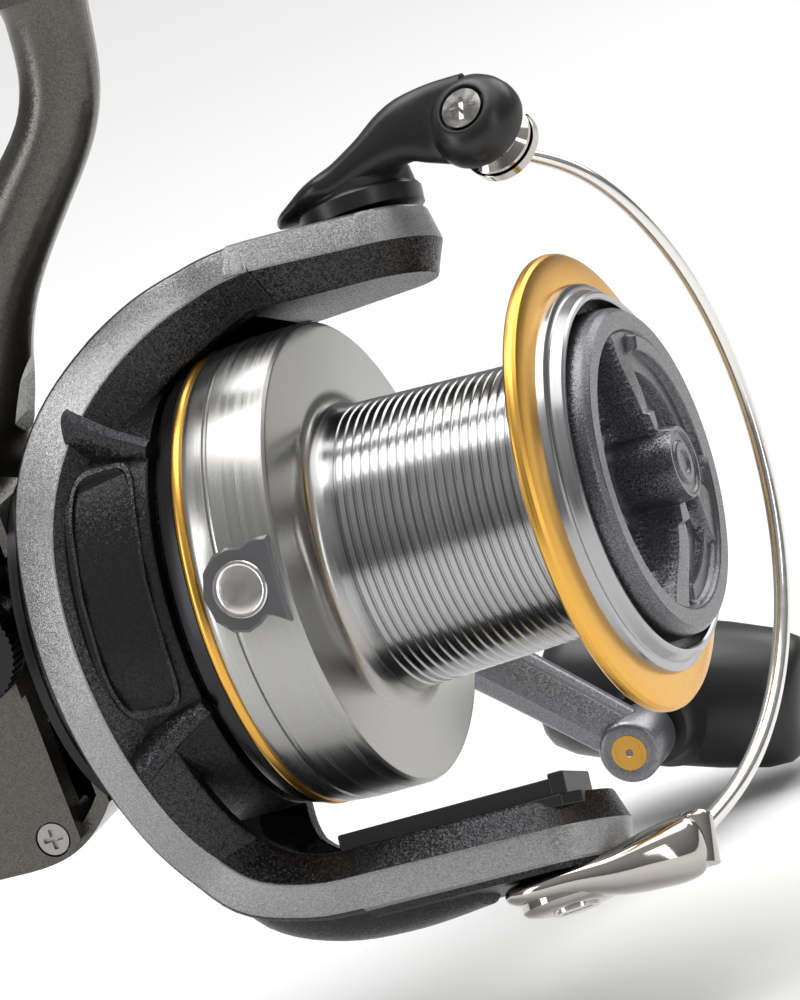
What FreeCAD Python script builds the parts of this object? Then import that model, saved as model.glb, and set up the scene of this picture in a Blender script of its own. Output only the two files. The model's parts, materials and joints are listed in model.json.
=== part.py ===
import FreeCAD, Part
import math
import os

V = FreeCAD.Vector
X, Y, Z = V(1, 0, 0), V(0, 1, 0), V(0, 0, 1)

# Spinning reel, left-hand crank. Lengths in millimetres.
# The model is laid out about the spool axis (+X to the front, +Z to the rod, +Y to the crank)
# with x = 0 at the spool lip, then shifted so that the origin is the centre of the foot's seat.

# ---- driving dimensions --------------------------------------------------------------------
FOOT_X = -56.0          # centre of the foot seat along the spool axis
FOOT_HEIGHT = 101.0     # foot seat above the spool axis
LIP_R = 35.0            # spool lip
BARREL_R_FRONT = 20.7   # line barrel under the lip
BARREL_R_REAR = 21.9    # line barrel at the skirt
SKIRT_R = 35.7
SKIRT_FRONT = -39.6
SKIRT_REAR = -58.5
SHAFT_R = 2.6           # main shaft
STROKE = 27.0           # spool travel
GAP = 0.35              # between curved faces that move past each other
ROTOR_REST = -20.5      # rotor angle at rest, degrees about the spool axis

DRIVE_X, DRIVE_Z = -97.0, 7.5           # crank axis
FACE_TEETH, PINION_TEETH = 39, 11
MESH_X = -81.5                          # middle of the face gear's contact
PITCH_R = (MESH_X - DRIVE_X) * PINION_TEETH / FACE_TEETH
GEAR_R = math.hypot(MESH_X - DRIVE_X, DRIVE_Z) + 0.9
TOOTH_LENGTH = 2.6
REAR_BEARING_R = 4.6                    # pinion's rear bearing
OSC_X, OSC_Z = -112.0, -9.5            # oscillation gear axis
OSC_TEETH, OSC_DRIVER_TEETH = 33, 17
CRANK_R = STROKE / 2                    # oscillation pin circle

BAIL_TOP = V(-29.0, 0, 50.0)            # bail hinge, rotor frame
BAIL_LOW = V(-21.0, 0, -53.0)
ROLLER_AXIS = V(0.045, 0.927, -0.366).normalize()
ROLLER_CAP = V(-6.5, -9.0, 58.6)        # outer face of the roller screw

KNUCKLE = V(-39.2, 70.0, -58.4)         # near face of the crank's knuckle
CRANK_Y = 47.5                          # crank arm at its root
CLIP_X = -46.5                          # line clips on the skirt
CLIP_LEAN = -12.0       # first line clip above the horizontal, degrees about the axis


# ---- helpers -------------------------------------------------------------------------------
def rod(r, x0, x1, axis=X, at=V(0, 0, 0)):
    """Cylinder from x0 to x1 along an axis through a point."""
    return Part.makeCylinder(r, x1 - x0, at + axis * x0, axis)


def ring(r_out, r_in, x0, x1, axis=X, at=V(0, 0, 0)):
    return rod(r_out, x0, x1, axis, at).cut(rod(r_in, x0 - 1, x1 + 1, axis, at))


def turned(points):
    """Solid of revolution about X from a closed list of (x, radius)."""
    wire = Part.makePolygon([V(x, r, 0) for x, r in points + points[:1]])
    return Part.Face(wire).revolve(V(0, 0, 0), X, 360)


def plate(points, y0, y1):
    """Outline of (x, z) points, extruded along Y."""
    wire = Part.makePolygon([V(x, y0, z) for x, z in points + points[:1]])
    return Part.Face(wire).extrude(V(0, y1 - y0, 0))


def smooth_plate(points, y0, y1):
    """Closed smooth outline through (x, z) points, extruded along Y."""
    curve = Part.BSplineCurve()
    curve.interpolate([V(x, y0, z) for x, z in points], PeriodicFlag=True)
    return Part.Face(Part.Wire(curve.toShape())).extrude(V(0, y1 - y0, 0))


def block(x0, x1, y0, y1, z0, z1):
    return Part.makeBox(x1 - x0, y1 - y0, z1 - z0, V(x0, y0, z0))


def fuse(shapes):
    return shapes[0].multiFuse(shapes[1:]).removeSplitter()


def spun(shape, degrees, axis=X, at=V(0, 0, 0)):
    copy = shape.copy()
    copy.rotate(at, axis, degrees)
    return copy


def around(shape, count, axis=X, at=V(0, 0, 0)):
    return [spun(shape, 360.0 * k / count, axis, at) for k in range(count)]


def frame_at(origin, direction, roll_to):
    """Placement whose local Z runs along direction and local X leans to roll_to."""
    z = V(direction).normalize()
    y = z.cross(roll_to).normalize()
    x = y.cross(z)
    m = FreeCAD.Matrix(x.x, y.x, z.x, origin.x, x.y, y.y, z.y, origin.y,
                       x.z, y.z, z.z, origin.z, 0, 0, 0, 1)
    return FreeCAD.Placement(m)


def placed(shape, placement):
    copy = shape.copy()
    copy.Placement = placement.multiply(copy.Placement)
    return copy


def ellipse_loft(sections):
    """Loft through (centre, half x-length, half y-width) ellipses lying level."""
    wires = []
    for centre, a, b in sections:
        if a >= b:
            curve = Part.Ellipse(centre, a, b)
        else:
            curve = Part.Ellipse(centre + V(0, b, 0), centre + V(-a, 0, 0), centre)
        wires.append(Part.Wire(curve.toShape()))
    return Part.makeLoft(wires, True, False)


def bent_rod(points, r, bend):
    """Round rod along straight runs joined by tangent arcs of radius bend."""
    edges = []
    start = points[0]
    for before, corner, after in zip(points, points[1:], points[2:]):
        u = (before - corner).normalize()
        w = (after - corner).normalize()
        half = u.getAngle(w) / 2
        reach = bend / math.tan(half)
        a, b = corner + u * reach, corner + w * reach
        middle = corner + (u + w).normalize() * (bend / math.sin(half) - bend)
        edges.append(Part.LineSegment(start, a).toShape())
        edges.append(Part.Arc(a, middle, b).toShape())
        start = b
    edges.append(Part.LineSegment(start, points[-1]).toShape())
    direction = (points[1] - points[0]).normalize()
    profile = Part.Wire(Part.Circle(points[0], direction, r).toShape())
    return Part.Wire(edges).makePipeShell([profile], True, False)


def hex_head(r, x0, x1, axis=X, at=V(0, 0, 0)):
    place = frame_at(at + axis * x0, axis, Y if abs(axis.y) < 0.9 else X)
    corners = [V(r * math.cos(math.radians(60 * k)), r * math.sin(math.radians(60 * k)), 0)
               for k in range(6)]
    face = Part.Face(Part.makePolygon(corners + corners[:1]))
    return placed(face.extrude(V(0, 0, x1 - x0)), place)


def biggest(shape):
    return max(shape.Solids, key=lambda solid: solid.Volume)


# ---- housing with stem and foot ------------------------------------------------------------
CASE = [(-84.5, 18), (-87.5, 26.5), (-98, 30.5), (-113, 27), (-128, 17.5), (-139, 6), (-140, -10),
        (-134.5, -23), (-124, -29), (-110, -29.5), (-95, -28.5), (-84.5, -19)]
CASE_HALF = 17.5
WALL = 2.3


def inset(points, amount):
    cx, cz = -108.0, -1.0
    result = []
    for x, z in points:
        far = math.hypot(x - cx, z - cz)
        k = (far - amount) / far
        result.append((cx + (x - cx) * k, cz + (z - cz) * k))
    return result


NOSE = [(-86.8, 27.0), (-83, 27.0), (-76, 22.5), (-75, 15.0), (-64.6, 15.0)]
NOSE_WALL = 1.8


def nose_solid(shrink):
    rear = [(NOSE[0][0] - 8 * (shrink > 0), 0.0)]
    front = [(x - 0.9 * (shrink > 0) * (x > -80), r - shrink) for x, r in NOSE]
    front[0] = (rear[0][0], front[0][1])
    return turned(rear + front + [(front[-1][0], 0.0)])


STEM = [(-99, 24, 14, 11), (-96, 34, 12, 9.8), (-91.5, 43, 11, 8.6), (-86.5, 51, 10, 7.6),
        (-81.3, 57, 9.5, 7.0), (-74.8, 63.5, 9, 6.5), (-68, 70.5, 8.5, 6.1), (-62.2, 77.5, 6.9, 5.9),
        (-59.6, 84, 6.3, 6.0), (-58.4, 91, 6.4, 6.4), (-57.8, 96.5, 8.5, 7.6)]


def stem():
    return ellipse_loft([(V(x, 0, z), a, b) for x, z, a, b in STEM])


def foot():
    """Saddle-backed foot: flat seat on top, two tapered toes for the rod's hoods."""
    half, top = 36.0, FOOT_HEIGHT
    side = [(FOOT_X - half, top - 1.6), (FOOT_X - half, top), (FOOT_X + half, top),
            (FOOT_X + half, top - 1.6), (FOOT_X + 14, top - 5.5), (FOOT_X - 16, top - 5.5)]
    body = plate(side, -8.6, 8.6)
    toes = fuse([Part.makeCylinder(8.6, 8, V(FOOT_X + s * (half - 8.6), 0, top - 7), Z) for s in (-1, 1)]
                + [block(FOOT_X - half + 8.6, FOOT_X + half - 8.6, -8.6, 8.6, top - 7, top + 1)])
    return body.common(toes)


def rotor_clearance():
    """Space behind and around the turning rotor, which the case and stem keep out of."""
    inner = NOSE[0][1]
    return turned([(-84.9, inner), (-84.9, 35), (-82.2, 40.5), (-78.5, 46), (-71.5, 54), (-66, 57.8),
                   (-40, 57.8), (-40, inner)])


def housing():
    nose_x, nose_r = NOSE[0]
    case = smooth_plate(CASE, -CASE_HALF, CASE_HALF).cut(ring(70, nose_r, nose_x, -60))
    shell = fuse([case, nose_solid(0),
                  rod(12.0, CASE_HALF - 1, 25.5, Y, V(DRIVE_X, 0, DRIVE_Z)), stem(), foot()])
    cavity = smooth_plate(inset(CASE, WALL), -CASE_HALF - 1, 14.0)
    cavity = cavity.cut(ring(70, nose_r - NOSE_WALL, nose_x - 1.6, -60))
    shell = shell.cut(cavity).cut(nose_solid(NOSE_WALL).common(block(-95, -75.9, -30, 30, -30, 30)))
    shell = shell.cut(rod(10.0, -76.5, -70.7)).cut(rod(12.0, -70.7, -60))
    shell = shell.cut(rod(7.5, 15.5, 21.0, Y, V(DRIVE_X, 0, DRIVE_Z)))
    shell = shell.cut(rod(5.0, 13, 30, Y, V(DRIVE_X, 0, DRIVE_Z)))
    web = block(-88.6, -85.2, -5.0, 3.4, -25.0, 3.4).common(rod(25.0, -95, -75))
    web = web.fuse(rod(6.2, -88.6, -85.2)).cut(gear_sweep())
    web = web.cut(rod(REAR_BEARING_R, -90, -84)).cut(guide_rod())
    for x, z in SCREW_POSTS:
        shell = shell.fuse(rod(2.6, -14.8, -7.0, Y, V(x, 0, z)).common(smooth_plate(CASE, -20, 20)))
        shell = shell.cut(rod(1.3, -20, -6, Y, V(x, 0, z)))
    shell = shell.fuse(web)
    return biggest(shell.cut(rear_cover_cut()).cut(rotor_clearance()).cut(nose_trim()))


CAP_R = 8.8
GUIDE = V(0, 0.6, -9.2)                 # guide rod's line
SCREW_POSTS = [(-122, 18.5), (-131.5, 9.5), (-96.5, -25.0)]


def rear_cover_cut():
    return block(-150, -134.0, -30, 30, -40, 40)


def side_cover():
    outline = inset(CASE, 0.9)
    cover = smooth_plate(outline, -CASE_HALF - 2.6, -CASE_HALF)
    cover = cover.fuse(smooth_plate(inset(CASE, WALL + 0.3), -CASE_HALF, -CASE_HALF + 1.8))
    cover = cover.fuse(rod(11.0, -21.8, -15.0, Y, V(DRIVE_X, 0, DRIVE_Z)))
    cover = cover.cut(block(-92.2, -60, -30, 0, -40, 40).cut(block(-92.2, -60, -14.9, 0, -40, 40)))
    cover = cover.cut(rod(7.5, -20.4, -10, Y, V(DRIVE_X, 0, DRIVE_Z)))
    cover = cover.cut(rod(5.0, -30, -10, Y, V(DRIVE_X, 0, DRIVE_Z)))
    for x, z in SCREW_POSTS:
        cover = cover.cut(rod(1.5, -25, -10, Y, V(x, 0, z)))
        cover = cover.cut(rod(2.8, -25, -CASE_HALF - 1.2, Y, V(x, 0, z)))
        cover = cover.cut(rod(2.9, -CASE_HALF, -10, Y, V(x, 0, z)))
    cover = cover.cut(rod(1.2, -25, -10, Y, V(OSC_X, 0, OSC_Z)))
    cover = cover.cut(rear_cover_cut())
    return cover.common(block(-160, -88.2, -60, 0, -60, 60))


def rear_cover():
    """Domed cap over the back of the case."""
    outer = smooth_plate(CASE, -CASE_HALF, CASE_HALF).common(rear_cover_cut())
    hollow = smooth_plate(inset(CASE, WALL), -CASE_HALF + 2.5, 14.0)
    boss = rod(3.4, -138.5, -134.0, X, GUIDE).common(outer)
    return outer.cut(hollow).fuse(boss).cut(guide_rod())


def body_screws():
    screws = []
    for x, z in SCREW_POSTS:
        at = V(x, 0, z)
        head = rod(2.5, -CASE_HALF - 2.5, -CASE_HALF - 1.2, Y, at)
        shank = rod(1.25, -CASE_HALF - 1.3, -8, Y, at)
        slot = block(x - 1.6, x + 1.6, -30, -CASE_HALF - 2.0, z - 0.35, z + 0.35)
        cross = block(x - 0.35, x + 0.35, -30, -CASE_HALF - 2.0, z - 1.6, z + 1.6)
        screws.append(head.fuse(shank).cut(slot).cut(cross))
    return Part.makeCompound(screws)


def handle_screw_cap():
    """Knurled cap that closes the bearing seat opposite the crank."""
    at = V(DRIVE_X, 0, DRIVE_Z)
    cap = rod(CAP_R, -27.0, -22.1, Y, at).fuse(rod(4.6, -22.2, -20.5, Y, at))
    tooth = rod(0.32, -28, -22.7, Y, at + V(CAP_R + 0.05, 0, 0))
    cap = cap.cut(Part.makeCompound(around(tooth, 48, Y, at)))
    return cap.cut(rod(5.2, -28, -26.2, Y, at))


def handle_cap_disc():
    at = V(DRIVE_X, 0, DRIVE_Z)
    return rod(5.2, -27.4, -26.2, Y, at).cut(rod(1.2, -28, -27.0, Y, at))


def nose_trim():
    """Bright ring let into the front of the case, behind the rotor."""
    return ring(NOSE[0][1] + 0.6, NOSE[0][1], -86.7, -85.2)


def bearing(r_out, r_in, x0, x1, axis=X, at=V(0, 0, 0)):
    """Shielded ball bearing as one solid with shallow face grooves."""
    middle = (r_out + r_in) / 2
    body = ring(r_out, r_in, x0, x1, axis, at)
    groove = ring(middle + 0.6, middle - 0.6, x0 - 1, x0 + 0.3, axis, at)
    other = ring(middle + 0.6, middle - 0.6, x1 - 0.3, x1 + 1, axis, at)
    return body.cut(groove).cut(other)


def drive_bearings():
    at = V(DRIVE_X, 0, DRIVE_Z)
    return Part.makeCompound([bearing(7.5, 3.25, -20.4, -16.4, Y, at),
                              bearing(7.5, 3.25, 15.5, 19.5, Y, at)])


def pinion_bearings():
    front = bearing(10.0, 5.55, -75.0, -70.8)
    rear = bearing(REAR_BEARING_R, 3.45, -88.4, -85.4)
    return Part.makeCompound([front, rear])


def one_way_clutch():
    body = ring(12.0, 7.1, -70.6, -66.2)
    rollers = Part.makeCompound(around(rod(0.9, -67, -66, X, V(0, 9.5, 0)), 8))
    return body.cut(rollers)


def clutch_retainer():
    plate_ring = ring(12.0, 7.4, -66.1, -64.8)
    return plate_ring.cut(Part.makeCompound(around(rod(0.9, -67, -64, X, V(0, 10.6, 0)), 3)))


def oscillation_axle():
    at = V(OSC_X, 0, OSC_Z)
    return rod(2.4, -15.7, -6.0, Y, at).fuse(rod(1.2, -17.9, -15.0, Y, at)).fuse(
        rod(3.2, -15.7, -12.5, Y, at))


def guide_rod():
    return rod(1.5, -137.0, -86.6, X, GUIDE)


def gear_sweep():
    """Space that the face gear's rim and teeth turn through, with clearance."""
    return ring(GEAR_R + 0.3, GEAR_R - TOOTH_LENGTH - 0.3, 3.6, 9.0, Y, V(DRIVE_X, 0, DRIVE_Z))


# ---- crank ---------------------------------------------------------------------------------
def drive_gear():
    """Face gear on its shaft, with the small gear that turns the oscillation gear."""
    at = V(DRIVE_X, 0, DRIVE_Z)
    disc = rod(GEAR_R, 5.4, 7.0, Y, at)
    disc = disc.fuse(Part.makeCone(GEAR_R, GEAR_R - 1.0, 1.0, at + V(0, 7, 0), Y))
    disc = disc.cut(rod(GEAR_R - 5.2, 5.3, 6.2, Y, at))
    blade_length = 5.2
    section = [(5.5, -0.62), (3.95, -0.3), (3.95, 0.3), (5.5, 0.62), (5.5, -0.62)]
    profile = Part.makePolygon([V(MESH_X - blade_length / 2, y, z) for y, z in section])
    blade = Part.Face(profile).extrude(V(blade_length, 0, 0))
    blade = blade.common(ring(GEAR_R, GEAR_R - TOOTH_LENGTH, 3.5, 5.6, Y, at))
    shaft = rod(3.2, -20.5, 24.3, Y, at)
    hub = rod(6.5, 6.0, 13.0, Y, at)
    driver = spur_gear(OSC_DRIVER_TEETH, osc_pitch(OSC_DRIVER_TEETH), -8.8, -6.55, at, 0.0)
    gear = fuse([disc, shaft, hub, driver] + around(blade, FACE_TEETH, Y, at))
    lightening = rod(2.0, 5, 12, Y, at + V(10.5, 0, 0))
    gear = gear.cut(Part.makeCompound(around(lightening, 6, Y, at)))
    return gear.cut(hex_head(2.0, -21, -12, Y, at))


def osc_pitch(teeth):
    distance = math.hypot(DRIVE_X - OSC_X, DRIVE_Z - OSC_Z)
    return distance * teeth / (OSC_TEETH + OSC_DRIVER_TEETH)


def spur_gear(teeth, pitch_r, y0, y1, at, phase):
    """Straight gear about Y. Teeth are thin enough to leave backlash. Phase in degrees."""
    module = 2 * pitch_r / teeth
    tip, root = pitch_r + 0.75 * module, pitch_r - 0.95 * module
    half = math.pi * module / 4 * 0.70
    rows = ((root - 0.3, 1.35), (pitch_r, 1.0), (tip, 0.42))
    side = [V(r, y0, half * k) for r, k in rows]
    other = [V(r, y0, -half * k) for r, k in reversed(rows)]
    tooth = Part.Face(Part.makePolygon(side + other + side[:1])).extrude(V(0, y1 - y0, 0))
    tooth.rotate(V(0, 0, 0), Y, -phase)
    tooth.translate(at)
    return fuse([rod(root, y0, y1, Y, at)] + around(tooth, teeth, Y, at))


def oscillation_gear():
    at = V(OSC_X, 0, OSC_Z)
    towards = math.degrees(math.atan2(DRIVE_Z - OSC_Z, DRIVE_X - OSC_X))
    back = (towards + 180.0) % (360.0 / OSC_DRIVER_TEETH)
    phase = towards + 180.0 / OSC_TEETH + back * OSC_DRIVER_TEETH / OSC_TEETH
    gear = spur_gear(OSC_TEETH, osc_pitch(OSC_TEETH), -8.8, -6.3, at, phase)
    pin = rod(1.5, -6.4, -5.3, Y, at + V(-CRANK_R, 0, 0))
    boss = ring(4.4, 2.45, -11.0, -6.3, Y, at)
    gear = gear.fuse(pin).fuse(boss).cut(rod(2.45, -20, 0, Y, at))
    window = rod(2.6, -10, -5, Y, at + V(8.6, 0, 0))
    return gear.cut(Part.makeCompound(around(window, 5, Y, at)))


def handle_shank():
    at = V(DRIVE_X, 0, DRIVE_Z)
    body = fuse([rod(8.0, 25.9, 28.5, Y, at), rod(5.6, 28.0, CRANK_Y - 3.0, Y, at),
                 rod(7.0, CRANK_Y - 4.0, CRANK_Y - 0.8, Y, at)])
    return body.fuse(hex_head(3.4, 24.4, 26.2, Y, at).common(rod(3.3, 24, 27, Y, at)))


ARM_PATH = [(0.0, 0.0, 7.2, 4.0), (0.15, 0.05, 6.4, 3.6), (0.3, 0.28, 5.6, 3.2), (0.45, 0.56, 5.2, 3.2),
            (0.7, 0.83, 4.9, 3.4), (0.97, 1.0, 4.6, 3.3)]   # length share, rise, half width, half depth


def handle_arm():
    """Crank: blade from the shank out to the knuckle, rising away from the body."""
    root = V(DRIVE_X, CRANK_Y + 3.2, DRIVE_Z)
    tip = KNUCKLE + V(0, 5.0, 0)
    along = V(tip.x - root.x, 0, tip.z - root.z)
    side = along.cross(Y).normalize()
    wires = []
    for t, rise, a, b in ARM_PATH:
        centre = root + along * t + V(0, (tip.y - root.y) * rise, 0)
        curve = Part.Ellipse(centre + side * a, centre + Y * b, centre)
        wires.append(Part.Wire(curve.toShape()))
    blade = Part.makeLoft(wires, True, False)
    eye = Part.makeCylinder(7.6, 8.0, V(DRIVE_X, CRANK_Y - 0.7, DRIVE_Z), Y)
    knuckle = Part.makeCylinder(5.1, 10.5, KNUCKLE, Y)
    arm = fuse([blade, eye, knuckle])
    at = V(DRIVE_X, 0, DRIVE_Z)
    arm = arm.cut(rod(4.6, CRANK_Y + 7.3, CRANK_Y + 15, Y, at))
    arm = arm.cut(rod(7.2, CRANK_Y - 10, CRANK_Y - 0.7, Y, at))
    arm = arm.cut(Part.makeCylinder(2.9, 1.7, KNUCKLE - V(0, 0.1, 0), Y))
    return arm.cut(Part.makeCylinder(2.2, 20, KNUCKLE, Y))


def handle_screw():
    at = V(DRIVE_X, 0, DRIVE_Z)
    head = rod(4.4, CRANK_Y + 7.4, CRANK_Y + 9.0, Y, at)
    return head.cut(hex_head(1.8, CRANK_Y + 8.0, CRANK_Y + 10, Y, at))


def knuckle_cap():
    cap = Part.makeCylinder(2.9, 1.7, KNUCKLE - V(0, 0.1, 0), Y)
    return cap.cut(Part.makeCone(0.7, 0.1, 0.7, KNUCKLE - V(0, 0.11, 0), Y))


def knob_shaft():
    pin = Part.makeCylinder(2.2, 27.5, KNUCKLE + V(0, 1.6, 0), Y)
    return pin.fuse(Part.makeCylinder(4.2, 1.0, KNUCKLE + V(0, 10.5, 0), Y))


BAR_TILT = 19.0         # knob bar below the horizontal
BAR_HALF = 22.0
KNOB_Y = 30.5           # bar's middle, out from the knuckle's near face


def handle_knob():
    """Round power bar across its shaft, with a neck towards the crank."""
    centre = KNUCKLE + V(0, KNOB_Y, 0)
    tilt = math.radians(BAR_TILT)
    along = V(math.cos(tilt), 0, -math.sin(tilt))
    rows = [(-22.0, 7.5), (-20.5, 10.0), (-16.0, 11.4), (-8.0, 11.9), (0.0, 12.0), (8.0, 11.9),
            (16.0, 11.4), (20.5, 10.0), (22.0, 7.5)]
    wires = [Part.Wire(Part.Circle(centre + along * s, along, r).toShape()) for s, r in rows]
    bar = Part.makeLoft(wires, True, False)
    neck = Part.makeCone(6.4, 8.6, 9.0, KNUCKLE + V(0, 12.3, 0), Y)
    knob = bar.fuse(neck)
    knob = knob.cut(Part.makeCylinder(2.6, 40, KNUCKLE + V(0, 11, 0), Y))
    knob = knob.cut(Part.makeCylinder(4.6, 4.0, KNUCKLE + V(0, 12, 0), Y))
    return knob.cut(Part.makeCylinder(5.2, 20, KNUCKLE + V(0, 30.5, 0), Y))


def knob_bearings():
    return Part.makeCompound([bearing(4.6, 2.25, 12.8, 15.8, Y, KNUCKLE),
                              bearing(5.2, 2.25, 30.6, 33.4, Y, KNUCKLE)])


def knob_end_cap():
    return Part.makeCylinder(5.2, 3.2, KNUCKLE + V(0, 39.0, 0), Y)


def knob_screw():
    return Part.makeCylinder(1.9, 5.0, KNUCKLE + V(0, 29.1, 0), Y).fuse(
        Part.makeCylinder(3.4, 1.2, KNUCKLE + V(0, 33.6, 0), Y))


# ---- rotor ---------------------------------------------------------------------------------
RAIL = [  # outer x, outer z, inner x, inner z along the rotor's open yoke, top to bottom
    (-40.0, 48.2, -38.0, 38.6), (-52.0, 47.6, -47.0, 37.2), (-62.5, 44.0, -55.5, 32.8),
    (-71.5, 37.5, -62.0, 26.5), (-78.5, 28.5, -66.5, 18.0), (-83.0, 17.0, -69.0, 8.0),
    (-83.5, 2.0, -69.2, -1.0), (-82.5, -13.0, -68.6, -12.0), (-80.5, -27.0, -67.6, -25.0),
    (-76.0, -39.5, -64.5, -35.5), (-68.5, -48.5, -59.0, -41.2), (-57.0, -52.3, -52.0, -43.4),
    (-44.0, -52.6, -43.0, -43.8)]


def ridge_y(z):
    """Distance of the yoke's ridge from the rotor's middle plane."""
    return max(17.0, 34.0 - 0.0099 * z * z)


def rail(side):
    wires = []
    for xo, zo, xi, zi in RAIL:
        y = ridge_y((zo + zi) / 2)
        ridge = (xi + 0.48 * (xo - xi), zi + 0.48 * (zo - zi))
        rows = [(xo, zo, y - 3.2), (ridge[0], ridge[1], y), (xi, zi, y - 3.6), (xi, zi, y - 7.2),
                (xo, zo, y - 7.2)]
        corners = [V(x, side * d, z) for x, z, d in rows]
        wires.append(Part.makePolygon(corners + corners[:1]))
    return Part.makeLoft(wires, True, True)


def arm(outline, half, radius, pivot, tip_r):
    """Arm block: crowned outside, its front end round about the bail pivot."""
    body = plate(outline, -half, half).common(rod(radius, -90, 10))
    tip = Part.makeCylinder(tip_r, 140, pivot - BAIL_DIRECTION * 70, BAIL_DIRECTION)
    return body.common(tip.fuse(block(-95, pivot.x, -40, 40, -70, 70)))


UPPER_ARM = [(-60.0, 36.8), (-60.0, 52), (-13.0, 52), (-10.8, 47), (-12.6, 38.4), (-34.0, 37.6)]
LOWER_ARM = [(-66.0, -38.5), (-69.5, -48), (-62.0, -57), (-9.5, -57), (-6.0, -52), (-5.5, -46), (-8.0, -43.4),
             (-42.0, -42.6), (-57.0, -39.0)]


def drum():
    body = turned([(-74.0, 33.6), (-59.8, 33.6), (-59.8, 31.2), (-45.0, 31.2), (-45.0, 29.4),
                   (-60.4, 29.4), (-60.4, 5.6), (-63.4, 5.6), (-63.4, 27.0), (-74.0, 30.6)])
    window = block(-72.4, -64.6, -6.5, 6.5, 25, 40)
    slots = [spun(window, a) for a in (62, 90, 118, -62, -90, -118)]
    hub_hole = rod(4.2, -66, -58, X, V(0, 17.0, 0))
    holes = [spun(hub_hole, a) for a in range(0, 360, 60)]
    return body.cut(Part.makeCompound(slots)).cut(Part.makeCompound(holes))


def rotor():
    gussets = []
    for side in (-1, 1):
        for sign in (-1, 1):
            corners = [V(-61, side * 16, sign * 28), V(-74, side * 27, sign * 20),
                       V(-74, side * 20, sign * 28)]
            face = Part.Face(Part.makePolygon(corners + corners[:1]))
            normal = V(0, side * 0.5, sign * 0.8).normalize()
            gussets.append(face.extrude(normal * 7.0))
    body = fuse([drum(), arm(UPPER_ARM, 14.5, 50.6, BAIL_TOP, 17.6),
                 arm(LOWER_ARM, 14.5, 56.0, BAIL_LOW, 15.8), rail(-1), rail(1)] + gussets)
    clear = turned([(-95, 0), (-95, 27.6), (-83, 27.6), (-75.5, 23.2), (-74, 30.6), (-63.4, 27.0),
                    (-63.4, 0)])
    body = body.cut(clear)
    body = body.cut(ring(37.4, 31.9, -59.7, 20))
    for at, sign in ((BAIL_TOP, 1), (BAIL_LOW, -1)):
        seat = bail_piece(rod(11.0 if sign > 0 else 26.0, 0, 20, Z), at, sign, 0.0)
        body = body.cut(seat)
        body = body.cut(bail_piece(rod(2.6, -8, 1, Z), at, sign, 0.0))
    body = body.cut(spring_channel())
    return body.cut(block(-50.0, -14.0, -9.4, 9.4, -46.2, -40.0).common(rod(47.6, -60, 0)))


BAIL_DIRECTION = (BAIL_TOP - BAIL_LOW).normalize()
SEAT_TOP, SEAT_LOW = -1.8, 1.4


def bail_piece(shape, at, sign, shift):
    """Put a shape made along local +Z, outwards, on a bail pivot."""
    out = BAIL_DIRECTION * sign
    return placed(shape, frame_at(at + out * (SEAT_TOP if sign > 0 else SEAT_LOW) + out * shift, out, X))


def spring_channel():
    return rod(2.7, -56.0, -37.0, X, V(0, 5.5, 42.0))


def bail_spring():
    helix = Part.makeHelix(1.9, 16.0, 1.9)
    helix.Placement = FreeCAD.Placement(V(-55.0, 5.5, 42.0), FreeCAD.Rotation(Y, 90))
    start = helix.Vertexes[0].Point
    profile = Part.Wire(Part.Circle(start, X, 0.35).toShape())
    return Part.Wire(helix.Edges).makePipeShell([profile], True, True)


def arm_cover_lower():
    """Dark cover let into the inside of the lower arm, with a raised rib."""
    base = block(-49.8, -14.2, -9.2, 9.2, -46.0, -44.0)
    rib = block(-47.0, -16.5, -8.0, -5.6, -44.1, -41.6)
    return base.fuse(rib).removeSplitter()


def arm_cover_upper():
    """Outer skin plate on the back of the upper arm."""
    return ring(52.0, 50.7, -60.0, -41.5).common(block(-60.0, -41.5, -11.5, 11.5, 30, 60))


def cover_screws():
    screws = []
    for x in (-56.5, -45.0):
        screws.append(rod(1.6, 52.0, 52.6, Z, V(x, 0, 0)))
    return Part.makeCompound(screws)


def pinion_gear():
    body = fuse([rod(5.5, -77.0, -52.0), rod(3.4, -89.0, -75.5)])
    half = 0.48
    tip = 4.95
    rows = ((3.2, 1.35 * half), (PITCH_R, half), (tip, 0.22))
    side = [V(-82.0, r, h) for r, h in rows]
    other = [V(-82.0, r, -h) for r, h in reversed(rows)]
    tooth = Part.Face(Part.makePolygon(side + other + side[:1])).extrude(V(5.5, 0, 0))
    tooth = spun(tooth, 180.0 / PINION_TEETH)
    body = fuse([body, rod(3.6, -84.9, -76.5)] + around(tooth, PINION_TEETH))
    return body.cut(rod(SHAFT_R + GAP, -95, -50))


def clutch_sleeve():
    return ring(7.0, 5.5, -70.6, -64.2)


def rotor_nut():
    return hex_head(9.0, -60.3, -55.5).cut(rod(5.5, -62, -50)).common(rod(8.6, -62, -50))


def brake_ring():
    """Rubber friction ring inside the back of the drum."""
    return turned([(-71.8, 28.0), (-71.8, 29.7), (-70.2, 29.15), (-70.2, 28.0)])


# ---- bail ----------------------------------------------------------------------------------
BAIL_GAP = 0.4


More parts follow.
